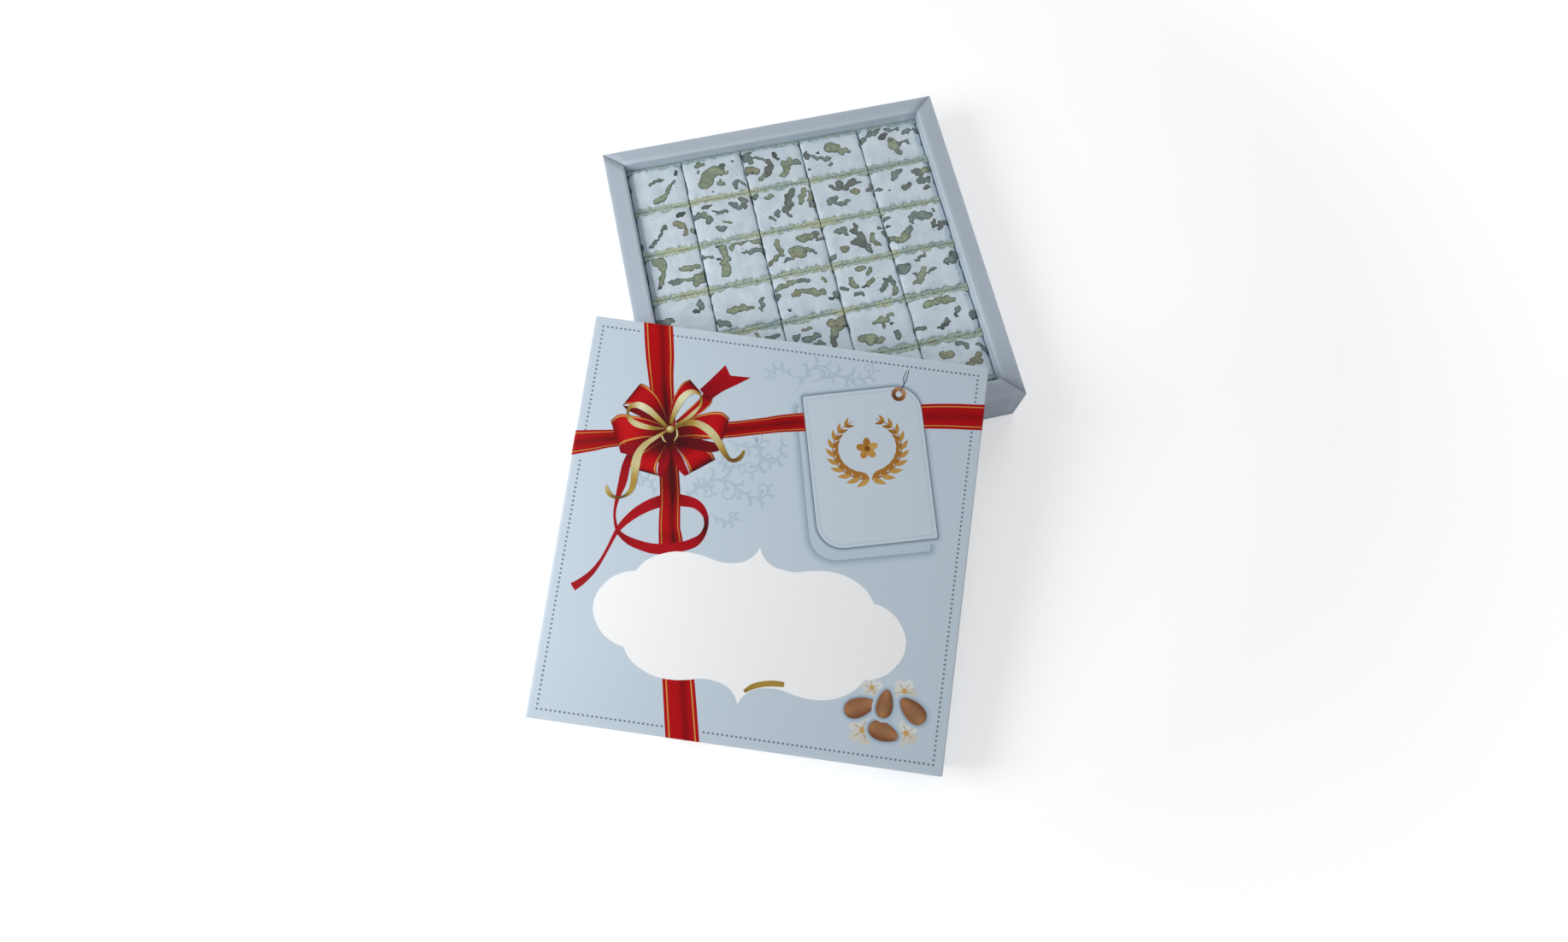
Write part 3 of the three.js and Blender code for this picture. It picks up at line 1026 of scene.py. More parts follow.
# Leaves of a scroll: share along the stem, size, and 1 on its outer side or -1 on its inner side
SCROLL_LEAVES = (
    (0.1, 0.8, 1), (0.2, 0.7, -1), (0.27, 1.0, 1), (0.37, 0.8, -1), (0.42, 1.0, 1), (0.56, 0.8, 1),
    (0.68, 0.6, 1),
)


def bent_path(place, heading, length, first, last, widths, steps):
    """A path whose bend grows along it, as (s, t, width, heading)."""
    s, t = place
    path = []
    for k in range(steps + 1):
        u = k / steps
        path.append((s, t, widths(u), heading))
        heading += (first + (last - first) * u * u) * length / steps
        s += length / steps * math.cos(math.radians(heading))
        t += length / steps * math.sin(math.radians(heading))
    return path


def print_scrolls():
    """Faint stems that wind into a spiral, with curled leaves along them and a bead at the end."""
    faint = Batch()
    level = INK / 2
    for s, t, heading, length, way, width in SCROLLS:
        stem = bent_path(
            (s, t), heading, length, 0, way * SCROLL_TURN / length,
            lambda u: width * (0.2 + 0.6 * math.sin(math.pi * (0.1 + 0.8 * u))), SCROLL_STEPS,
        )
        strokes = [stem]
        for share, size, side in SCROLL_LEAVES:
            root = stem[round(share * SCROLL_STEPS)]
            bend = -side * way
            reach = 0.24 * size * length
            strokes.append(bent_path(
                root[:2], root[3] + 14 * bend, reach, 2 * bend, 520 * bend / reach,
                lambda u: 1.15 * size * width * math.sin(math.pi * u**1.25) + 0.06, 20,
            ))
        for stroke in strokes:
            strip(faint, [(*spot[:3], 0.5) for spot in stroke], level, 2)
            level += SCROLL_RISE
        patch(faint, turned(ellipse(1.5 * width, 1.5 * width), 0, stem[-1][:2]), level, 0.5)
    faint.printed("scrolls", SCROLL_INK)


# Hang tag: its place and turn on the panel, its size and the radii of its corners
TAG_CENTRE = (52.5, 47.1)
TAG_TURN = 14.0
TAG_SIZE = (65.0, 86.5)
TAG_RADII = (14.5, 1.0, 14.5, 1.0)
TAG_EDGE = 0.25
# Underlay, which shows beside the tag
UNDERLAY_PLACE = (TAG_CENTRE[0] - 2.6, TAG_CENTRE[1] - 7.2)
UNDERLAY_TURN = TAG_TURN - 0.5
# Its seam: inset, radii of the corners, length and thickness of a stitch
SEAM_INSET = 2.0
SEAM_RADII = (12.5, 0.6, 12.5, 0.6)
STITCH = (1.5, 0.32)
# Its eyelet, with the ring's radius and breadth, and its strings as places with width and shade
TAG_EYE = (63.5, 89.8)
EYE_RADIUS = 2.9
EYE_BREADTH = 2.3
STRINGS = (
    ((64.6, 90.6, 0.5, 0.9), (65.0, 94.0, 0.55, 0.9), (66.6, 98.4, 0.5, 0.9), (67.4, 104.6, 0.35, 0.9)),
    ((63.8, 91.4, 0.45, 0.9), (65.6, 95.2, 0.5, 0.9), (65.0, 99.0, 0.5, 0.9), (66.2, 103.6, 0.35, 0.9)),
)


def tag_outline(margin, radii=TAG_RADII, steps=8):
    """The tag's outline, larger by a margin all round."""
    box = rounded_box(TAG_SIZE[0] + 2 * margin, TAG_SIZE[1] + 2 * margin, radii, steps)
    return turned(box, TAG_TURN, TAG_CENTRE)


def faded_ring(batch, outline, grow, lift, deep, rings=4):
    """A printed shadow round an outline, which fades outwards."""
    outline = np.asarray(outline, float)
    after, before = np.roll(outline, -1, 0), np.roll(outline, 1, 0)
    along = after - before
    out = np.stack([along[:, 1], -along[:, 0]], 1)
    out /= np.maximum(np.linalg.norm(out, axis=1, keepdims=True), 1e-9)
    loops = [outline + out * grow * k / rings for k in range(rings + 1)]
    grid = np.array([[(*p, LID_HEIGHT + lift) for p in [*loop, loop[0]]] for loop in loops])
    lower = grid * (1, 1, 0) + (0, 0, LID_HEIGHT)
    points, faces = slab(grid, lower)
    shade = np.repeat([deep * (1 - k / rings) ** 1.5 for k in range(rings + 1)], len(outline) + 1)
    batch.add(lid_points(points), faces, shade=[*shade] * 2)


# Wreath on the tag, from the tag's centre, with the angle at which a branch starts and how far it goes
WREATH_CENTRE = (0.0, 10.0)
WREATH_HALF = (19.0, 17.0)
WREATH_START = -88
WREATH_SWEEP = 158
WREATH_LEAVES = 10
BRANCH_STEPS = 40
LEAF_RISE = 0.001
PETALS = 5


def print_wreath():
    """A generic wreath of two leafy branches, with a small blossom inside."""
    leaves = Batch()
    level = INK * 11
    for side in (-1, 1):
        branch = []
        for k in range(BRANCH_STEPS + 1):
            share = k / BRANCH_STEPS
            angle = math.radians(WREATH_START + WREATH_SWEEP * share)
            across = WREATH_CENTRE[0] + side * WREATH_HALF[0] * math.cos(angle)
            up = WREATH_CENTRE[1] + WREATH_HALF[1] * math.sin(angle)
            branch.append((*turned([(across, up)], TAG_TURN, TAG_CENTRE)[0], 0.9 - 0.5 * share, 0.25))
        strip(leaves, branch, level, 2)
        for k in range(WREATH_LEAVES):
            spot, ahead = branch[4 * k], branch[4 * k + 1]
            heading = math.degrees(math.atan2(ahead[1] - spot[1], ahead[0] - spot[0]))
            size = 8.6 - 0.35 * k
            for slant, shade in ((34, 0.45), (-30, 0.75)):
                level += LEAF_RISE
                blade = turned(leaf(size, 0.36 * size), heading + side * slant, spot[:2])
                patch(leaves, blade, level, shade - 0.02 * k)
    heart = turned([WREATH_CENTRE], TAG_TURN, TAG_CENTRE)[0]
    petal = [(x + 3.4, y) for x, y in ellipse(5.6, 4.0)]
    for k in range(PETALS):
        level += LEAF_RISE
        patch(leaves, turned(petal, TAG_TURN + 90 + 360 / PETALS * k, heart), level, 0.4 + 0.1 * k)
    patch(leaves, turned(ellipse(3.2, 3.2), 0, heart), level + LEAF_RISE, 0.05)
    leaves.printed("wreath", WREATH_INK)


def print_stitches():
    """Stitches all along the tag's seam."""
    stitches = Batch()
    seam = tag_outline(-SEAM_INSET, SEAM_RADII, 10)
    for (s0, t0), (s1, t1) in zip(seam, seam[1:] + seam[:1]):
        length = math.hypot(s1 - s0, t1 - t0)
        heading = math.degrees(math.atan2(t1 - t0, s1 - s0))
        count = max(1, round(length / (1.6 * STITCH[0])))
        for k in range(count):
            u = (k + 0.5) / count
            spot = (s0 + u * (s1 - s0), t0 + u * (t1 - t0))
            stitch = ellipse(min(STITCH[0], length), STITCH[1], 8)
            patch(stitches, turned(stitch, heading, spot), INK * 11, 0.5)
    stitches.printed("stitches", BEAD_INK)


def print_tag():
    """A hang tag with a stitched edge and a wreath, its underlay and shadow, an eyelet and two strings."""
    under = turned(rounded_box(*TAG_SIZE, TAG_RADII), UNDERLAY_TURN, UNDERLAY_PLACE)
    face = tag_outline(0)
    underlay = Batch()
    patch(underlay, under, INK * 6)
    underlay.printed("tag_underlay", UNDERLAY_INK)
    shadows = Batch()
    faded_ring(shadows, under, 4.6, INK * 5, 0.62)
    faded_ring(shadows, face, 2.6, INK * 8, 1.0)
    shadows.printed("tag_shadow", SHADOW_INK)
    edge = Batch()
    patch(edge, tag_outline(TAG_EDGE), INK * 9, 1.0)
    edge.printed("tag_edge", BEAD_INK)
    front = Batch()
    patch(front, face, INK * 10)
    front.printed("tag", TAG_INK)
    print_stitches()
    print_wreath()
    eyelet = Batch()
    ring = []
    for angle in np.linspace(0, 2 * math.pi, 33):
        spot = (TAG_EYE[0] + EYE_RADIUS * math.cos(angle), TAG_EYE[1] + EYE_RADIUS * math.sin(angle))
        ring.append((*spot, EYE_BREADTH, 0.5 + 0.4 * math.sin(angle + 0.6)))
    strip(eyelet, ring, INK * 12)
    eyelet.printed("eyelet", EYELET_INK)
    strings = Batch()
    for path in STRINGS:
        strip(strings, smooth_path(path, 8), INK * 13, 2)
    strings.printed("strings", BEAD_INK)


CARTOUCHE_CENTRE = (-0.6, -47.4)
# Upper right quarter of the cartouche's outline: a lobe from its point to its notch, and the end beyond it
CARTOUCHE_LOBE = (
    (0, 42), (2.4, 37.6), (6.4, 34.0), (12, 32.0), (20.5, 31.4), (29, 33.2), (37, 34.2), (46, 33.6),
    (54.5, 30.6), (61, 26.2), (65.4, 20.4),
)
CARTOUCHE_END = ((65.4, 20.4), (70, 19.4), (77, 15.6), (82.2, 9.4), (84.6, 4.0), (85, 0))


def print_cartouche():
    """A plain white field with points, lobes and notches."""
    end = smooth_path([*CARTOUCHE_END, *((x, -y) for x, y in reversed(CARTOUCHE_END[:-1]))], 8)
    lobe = smooth_path(CARTOUCHE_LOBE, 8)
    half = [*lobe, *end[1:], *((x, -y) for x, y in lobe[-2::-1])]
    outline = [*half, *((-x, y) for x, y in half[-2:0:-1])]
    field = Batch()
    patch(field, turned(outline, 0, CARTOUCHE_CENTRE), INK * 9)
    field.printed("cartouche", CARTOUCHE_INK)


# Kernels in the panel's lower right corner: place, length, width and angle
CORNER_KERNELS = (
    (64, -82, 17, 10, 24), (78, -93, 16.5, 9.6, -14), (92, -80, 17, 10, 142), (77, -78.5, 15, 8.6, 86),
)
# Blossoms there: place, size and turn
CORNER_BLOSSOMS = ((67, -93.5, 15, 10), (90, -92, 13, 40), (69, -71, 11, 25), (86.5, -70.5, 12.5, 60))


def print_corner():
    """A generic group of almonds and blossoms."""
    shadows, petals, hearts, kernels, grooves = (Batch() for _ in range(5))
    for order, (s, t, size, turn) in enumerate(CORNER_BLOSSOMS):
        petal = [(x + 0.28 * size, y * (1 + 0.5 * x / size)) for x, y in ellipse(0.5 * size, 0.42 * size, 20)]
        vein = [(x + 0.1 * size, y) for x, y in leaf(0.3 * size, 0.035 * size)]
        for k in range(PETALS):
            angle = turn + 360 / PETALS * k
            level = INK * (2 + order) + 0.002 * k
            patch(petals, turned(petal, angle, (s, t)), level, 0.15 + 0.14 * k)
            patch(grooves, turned(vein, angle, (s, t)), INK * (3 + order), 0.4)
        patch(hearts, turned(ellipse(0.24 * size, 0.24 * size), 0, (s, t)), INK * (4 + order))
    for order, (s, t, length, width, angle) in enumerate(CORNER_KERNELS):
        level = INK * (8 + 3 * order)
        outline = [(x, y * (1 - 0.5 * x / length)) for x, y in ellipse(length, width, 28)]
        faded_ring(shadows, turned(outline, angle, (s, t)), 2.2, level - INK, 0.75)
        rungs = []
        for sweep in np.linspace(0, math.pi, 25):
            x = -length / 2 * math.cos(sweep)
            y = width / 2 * math.sin(sweep) * (1 - 0.5 * x / length) + 0.02
            upper, lower = turned([(x, y), (x, -y)], angle, (s, t))
            rungs.append((*upper, *lower, 0.62))
        ruled(kernels, rungs, level, 12, lambda share: 0.3 - 1.9 * (share - 0.42) ** 2)
        for row in (-0.62, -0.36, -0.1, 0.16, 0.42, 0.66):
            line = [(x - 0.36 * length, y + row * width * 0.5) for x, y in leaf(length * 0.7, 0.34)]
            patch(grooves, turned(line, angle, (s, t)), level + INK, 0.9)
    shadows.printed("kernel_shadows", SHADOW_INK)
    petals.printed("petals", PETAL_INK)
    hearts.printed("hearts", HEART_INK)
    kernels.printed("kernels", ALMOND_INK)
    grooves.printed("grooves", GROOVE_INK)


def make_print():
    print_scrolls()
    print_border()
    print_ribbons()
    print_bow()
    print_tag()
    print_cartouche()
    print_corner()


# Nougat

# Tints of nuts: olive, grey-green, brown, tan and dark
NUT_TINTS = {
    "o": srgb(149, 164, 137),
    "g": srgb(121, 142, 138),
    "b": srgb(104, 114, 109),
    "t": srgb(157, 158, 130),
    "d": srgb(56, 69, 71),
}
# Nuts by piece, as seen from above: place from the piece's centre, length, width, angle and tint
NUTS = {
    "r1_c1": (
        (-1.1, 3.4, 9, 3.2, 20, "g"), (2.6, 4.1, 5, 2, -15, "g"), (0.4, -9, 10, 4.4, 18, "o"),
        (6.4, -3.8, 7, 3, 60, "o"), (9.8, 0.4, 6, 2.2, 35, "g"), (13, 7.5, 4, 3, 80, "d"),
    ),
    "r1_c2": (
        (-4.7, -0.7, 16, 9.5, 30, "o"), (1.3, 2.2, 10, 8, 40, "o"), (5.6, 5.2, 6, 3.5, 65, "b"),
        (6.5, 0.7, 6, 2.4, -15, "o"), (2.2, -6.4, 5, 4, -60, "o"), (-8.1, 10.1, 6.5, 5, 20, "o"),
        (-10.1, 4.5, 3, 1.7, 80, "g"), (13, -9.4, 7.5, 3.6, 75, "g"), (17, -8.8, 3, 2.6, 0, "g"),
        (12.9, 8.2, 1.8, 1.5, 0, "d"), (-3.4, -11.6, 1.4, 1.2, 0, "d"),
    ),
    "r1_c3": (
        (-15, 11.2, 5, 4, 0, "g"), (-16.1, 6.4, 8, 6, -20, "g"), (-7.9, 5.2, 8, 3, -20, "g"),
        (-16.5, -2.6, 8.5, 6.8, 0, "t"), (-2.1, 1.5, 6.5, 5, -50, "b"), (-4.9, -5.2, 6.5, 5, 70, "b"),
        (-9.8, -7.1, 5.5, 3.6, 40, "o"), (1.9, 5.2, 7.4, 3.2, -65, "d"), (8, -2.6, 9, 6.5, 60, "o"),
        (9.6, 1, 4, 3, 90, "o"), (15.4, -1.5, 5, 4, 20, "g"), (5, -8.1, 7, 3.6, 40, "o"),
    ),
    "r1_c4": (
        (-17, 2.6, 6.5, 3.6, 80, "b"), (-12.5, 0, 7, 3, -40, "g"), (-8.1, -2.2, 6, 3.4, -20, "g"),
        (-3.7, -3, 4.6, 3.4, 10, "g"), (0.4, 4.4, 9, 7.5, 20, "o"), (5.2, 1.8, 9, 4.5, -40, "o"),
        (8.9, 0.7, 6, 4, 0, "o"), (-3.3, -7.2, 4, 2, 35, "g"), (-17.7, -7.6, 1.8, 1.5, 0, "d"),
        (-9.6, 2.4, 1.8, 1.5, 0, "d"),
    ),
    "r1_c5": (
        (-10, 10.3, 10.5, 3.6, 20, "g"), (-0.4, 10, 5, 2.6, -50, "g"), (4.8, 10, 6, 2.6, 25, "g"),
        (11.8, 6.6, 7.4, 3, 12, "g"), (-4.4, 5.5, 6.5, 4.5, 40, "d"), (-18.8, 5.2, 5, 4.6, 0, "g"),
        (0.4, -1.5, 8, 6, -50, "o"), (4.8, -1.5, 6, 2.6, 10, "b"), (10.1, -1.5, 5.6, 2.6, -45, "g"),
        (2.7, -7.2, 3.6, 3.4, 70, "g"), (18.6, 6.6, 3, 3.4, 0, "g"),
    ),
    "r2_c1": (
        (-2.6, -1.4, 9, 3.2, 42, "b"), (-9.4, -8.5, 9, 3, 45, "g"), (11.3, 8.9, 5.2, 4, 10, "d"),
        (8.6, 0.8, 8, 4.6, -15, "t"), (11.9, -5.1, 4.6, 3.4, 30, "t"), (16.4, -5.1, 4.6, 2.4, -60, "o"),
    ),
    "r2_c2": (
        (-9.6, 10.4, 7.2, 2.8, 5, "b"), (-17.9, 4.7, 6, 4, 40, "g"), (-10.7, 3.9, 5.5, 4, -50, "o"),
        (-10, 0.2, 5.5, 4.6, 60, "g"), (-5.1, 5.4, 4, 1.2, -25, "d"), (-0.2, 4.3, 7, 3.2, -10, "g"),
        (-3.2, -6.6, 7, 3.8, -15, "g"), (0.9, -4, 6, 2.2, -30, "t"), (7.3, 7.6, 8, 3.4, -50, "g"),
        (10.6, 5.4, 5, 3, -10, "g"), (14, 10.6, 9, 4, -75, "g"), (14.6, 5.4, 5, 3.6, 70, "b"),
    ),
    "r2_c3": (
        (-17.1, 11, 5, 3.6, 50, "g"), (-8.6, 8.9, 5.4, 3.6, 0, "o"), (-5.6, -5.1, 5.6, 4, 60, "g"),
        (-9.4, -7.4, 5.6, 2.4, -45, "g"), (3.4, 7.6, 5.5, 5, 40, "b"), (1.9, 3.2, 7, 6, 70, "b"),
        (0.4, -2.5, 5, 4, 30, "b"), (1.5, -7, 5, 2.6, -70, "g"), (5.4, 8.5, 9, 4.5, 60, "b"),
        (3.5, 1.1, 8, 4, 80, "b"), (11.3, 1.8, 5, 4, 80, "o"), (13.1, 7, 8, 4.4, 60, "o"),
        (18, 4, 8, 3.4, 70, "o"), (18, -2.6, 5, 3, 0, "g"),
    ),
    "r2_c4": (
        (-5.9, 6.3, 8, 3, -35, "g"), (-0.7, 8.5, 7, 5, 80, "b"), (3, 6.3, 8, 4.5, 0, "b"),
        (7.4, 9.2, 5, 4.6, 45, "b"), (10.3, 6.6, 7, 2.6, 5, "g"), (7.7, 1.1, 5.8, 3.2, 5, "t"),
        (-8.9, -1.8, 8, 4.4, 40, "g"), (-5.2, -5.2, 9, 3.4, -25, "g"), (-0.7, -4.8, 5, 3.6, 0, "g"),
        (18, 3, 5.5, 3.6, 75, "b"), (16.2, 1, 4, 2.6, 10, "g"),
    ),
    "r2_c5": (
        (-4.4, 7, 8, 4, 65, "g"), (-0.7, 10, 5, 2.8, 0, "g"), (10.3, 6.3, 7, 6, -20, "b"),
        (16.2, 7.4, 8, 5, 30, "o"), (11.8, -0.4, 5, 5, 60, "g"), (16.2, -0.7, 5.4, 4, 60, "g"),
        (1.1, -2.2, 7.6, 4.2, 15, "b"), (13.3, -6.3, 4.4, 2.6, -20, "b"), (-17.3, -0.7, 4, 2.4, 0, "g"),
        (-10.7, -3, 1.8, 1.4, 0, "d"),
    ),
    "r3_c1": (
        (-9, 7.1, 11, 7.4, 95, "o"), (-8.6, -1.9, 10, 4, 80, "o"), (9.4, 1.1, 13, 4.4, 0, "o"),
        (-1.1, -6.4, 8, 4.6, 10, "g"), (6, -7.1, 8, 3.2, -10, "o"), (13.9, -7.1, 10, 6, 20, "o"),
        (-11.5, -8.4, 2.6, 2.2, 0, "d"),
    ),
    "r3_c2": (
        (-5.9, 7.5, 10, 5.6, -70, "o"), (-5.1, 0, 9, 5.4, 80, "o"), (-7.4, -5.6, 8, 5.4, 70, "o"),
        (1.3, 10.5, 6, 3.8, 20, "o"), (8.8, 12.4, 11, 3, 10, "o"), (17, 11.6, 8, 4.6, -20, "o"),
        (12.9, 4.1, 14, 3.6, 3, "g"), (-19, 7.1, 6, 3, -50, "g"), (-14.1, 5.3, 4.6, 2.4, -30, "g"),
        (-9.1, 2.6, 2.6, 2.2, 0, "d"), (-8.1, 12.8, 2.6, 2.2, 0, "d"),
    ),
    "r3_c3": (
        (-10.9, 5.3, 8, 4.4, 75, "o"), (-9.4, -0.8, 7, 3.6, -60, "o"), (-14.3, -4.5, 9, 3.2, 30, "o"),
        (-18, -7.1, 5, 3, 40, "t"), (1.1, -1.5, 8, 6, 20, "o"), (-1.5, -4.9, 7, 4, 30, "t"),
        (-7.1, -7.1, 5, 3, 25, "g"), (8, 6.6, 13, 6, 5, "o"), (14.6, 7.4, 5, 4, 40, "b"),
        (16.8, 4.1, 7, 2.6, 25, "g"), (5, -4.1, 9, 6, 30, "o"), (10.2, -4.4, 6, 2.8, -30, "g"),
    ),
    "r3_c4": (
        (-8.5, 7.4, 7, 4.4, 20, "g"), (-5.5, 5.5, 5, 3, -70, "g"), (1.1, 7.7, 6, 3, 85, "b"),
        (-0.7, 4.1, 5, 3, -30, "b"), (3, 0.7, 8, 4.4, -65, "b"), (0.7, -2.2, 7, 5, -10, "b"),
        (2.6, -5.5, 7, 5, -50, "b"), (6.6, -9.2, 6, 3.4, -80, "g"), (9.6, -1.5, 6, 4, 80, "o"),
        (11.1, -5.5, 8, 3.4, -40, "o"), (-9, -7.4, 5, 4.4, 0, "t"), (-17.6, -10.3, 5, 3.6, 0, "g"),
        (15.9, 4.1, 3, 2.2, 0, "g"), (18.4, -0.7, 4, 2.4, 90, "b"),
    ),
    "r3_c5": (
        (-2.6, 4.4, 6.6, 3, -70, "g"), (4.8, 5.9, 12, 6, -25, "g"), (8.5, 4.8, 6, 4, 0, "g"),
        (12.9, 8.1, 3, 2, 70, "b"), (10.7, -1.1, 6, 4, 75, "b"), (14.8, -3.7, 5.6, 3.6, 70, "b"),
        (18, -1.5, 6, 3.6, -10, "g"), (-6.3, -3, 9, 4.6, 40, "g"), (-12.2, -6.6, 10, 7, 20, "o"),
        (-18, -6.6, 7, 4, -10, "o"), (-18, 8.9, 5, 2.6, 0, "g"), (-18, 3.7, 3, 1.4, 0, "d"),
    ),
    "r4_c1": (
        (-12, 0, 12, 4.4, -10, "g"), (11, 7.5, 5.5, 5, 60, "g"), (7.8, 2.5, 4, 3, 0, "d"),
    ),
    "r4_c2": (
        (-2.8, -1.7, 16, 5, -10, "o"), (10.5, -1.7, 10, 3, 80, "g"), (-15.3, -9.5, 9, 5, -25, "g"),
        (-7.8, -0.8, 5, 4, 0, "o"),
    ),
    "r4_c3": (
        (-15.7, 7.6, 7, 4, 10, "o"), (-8.6, 8.6, 10, 3.6, 0, "o"), (-0.5, 9, 8, 3.6, 5, "g"),
        (12.4, 7.1, 5, 2.4, -65, "t"), (-6.7, 1, 5.6, 5, 60, "t"), (-0.5, 1.4, 12, 4, -5, "o"),
        (6.7, -1, 9, 6, -35, "o"), (-18.1, 1, 5, 4.6, 60, "g"), (14.8, -6.7, 6, 2, -20, "d"),
        (18, -4.8, 4, 4, 0, "g"), (-13.3, -9.2, 1.8, 1.5, 0, "d"),
    ),
    "r4_c4": (
        (-2.8, 10.3, 6.6, 4, 15, "o"), (1.8, 6.7, 6, 3, 40, "o"), (-10.1, 1.4, 8, 4.6, -70, "o"),
        (-16.3, -1.9, 5.6, 3.6, -30, "g"), (0.9, -1.6, 7, 3.4, 30, "o"), (-3.4, -2.9, 4, 1.8, 20, "d"),
        (-7.9, -7.6, 7, 3, -10, "g"), (8.5, -5.2, 8, 3.6, 55, "g"), (14.2, -2.9, 7, 4, -70, "g"),
        (15.1, -10, 5.6, 3.6, 75, "o"), (11.8, -1.4, 5, 3, 0, "b"),
    ),
    "r4_c5": (
        (-3.6, 9.2, 9.5, 2.8, 28, "g"), (-17, 3.8, 7.4, 7, 0, "g"), (15, 5.2, 10, 7, 30, "g"),
        (18.6, 7, 5, 4, 0, "g"), (-10.3, -6.7, 8, 3.6, 15, "o"), (-5.5, -2.9, 9, 4.4, 50, "o"),
        (0.2, -1.6, 7, 2.6, 28, "g"), (-10.3, -2.4, 4, 2, -50, "g"), (10.7, 1, 4, 1.4, -45, "d"),
    ),
    "r5_c3": (
        (-5.2, 7.9, 7, 2.8, 10, "t"), (-4.3, 1.7, 11, 5, 8, "g"), (-13.3, 3.4, 5, 4, 40, "g"),
        (0, -3, 8, 3.4, -20, "g"), (13.3, 7.9, 10, 9, 30, "t"), (10, 2.7, 8, 5, 60, "o"),
        (9, -3, 9, 4, 65, "b"),
    ),
    "r5_c4": (
        (2.8, 4.6, 15, 4.4, 12, "o"), (1.3, 1.2, 4, 2.6, 80, "o"), (6.8, 0.8, 1.8, 1.5, 0, "d"),
        (-9.6, -5.9, 9, 7.6, 20, "o"), (-3.9, -7.3, 8, 5, 0, "o"), (9, -7, 4.6, 4.6, 50, "g"),
    ),
    "r5_c5": (
        (-6, 7.9, 10, 6, 20, "o"), (0.7, 9.3, 9, 6, -10, "o"), (6.4, 9.1, 7, 4, -10, "o"),
        (8.8, 1.2, 6, 2.6, 60, "g"), (7.3, -2.6, 4, 1.8, -50, "d"), (-16.5, -5.9, 7.4, 3.8, 0, "g"),
        (-2.2, -7.8, 9, 3.4, 15, "d"), (-0.3, -5, 4, 2.6, 80, "g"), (18, -4, 6, 5, 70, "g"),
    ),
    "r6_c5": (
        (4.5, 11.4, 6, 4.6, 0, "g"), (7.3, 8.6, 5, 4, -40, "g"), (16.4, 6.7, 6, 3.4, -20, "g"),
        (18.5, 3.3, 4, 3, 0, "g"), (-6, 3.3, 8, 6.4, -10, "t"), (8.3, -3.3, 8, 4, 15, "t"),
        (13.5, -1, 7, 4.6, 50, "t"),
    ),
}
# Nuts without a list of their own, on an upper face and on each flank
TOP_NUTS = 9
SIDE_NUTS = 5
# Half a nut's thickness, how far its middle lies under the face and how far its cut stands above it
NUT_DEPTH = 1.7
NUT_SINK = 0.5
NUT_PROUD = 0.12
# Points deeper than this belong to the nuts of a flank
TOP_NUT_DEPTH = 2.2
# Size of the cells in which a nut's lobes are merged
NUT_VOXEL = 0.34
# Widths of the dark skin and of the shade round a cut
NUT_RIM = 0.72
NUT_SHADE = 2.0
# Sag of the pieces beside the tray's left and right wall, on that side
LEFT_SLUMP = 2.3
RIGHT_SLUMP = 1.5
# The core is a block that stops short of the solid's top, then rises to the shape of its upper face
CORE_DROP = 0.5
# Embossing of the wafers
WAFER_FOLD = 0.4
EMBOSS_PITCH = 4.2
EMBOSS_DEPTH = 0.55
EMBOSS_MARGIN = 0.8
# How much cooler the wafers in the back row's shadow are
BACK_COOL = 0.75


def scattered_nuts(dice, count, across, up):
    """Nuts at places drawn within a face of the given half sizes."""
    nuts = []
    for _ in range(count):
        length = dice.uniform(4.5, 11)
        width = length * dice.uniform(0.35, 0.62)
        place = (dice.uniform(-across, across), dice.uniform(-up, up))
        nuts.append((*place, length, width, dice.uniform(0, 180), dice.choice("ooggbt")))
    return nuts


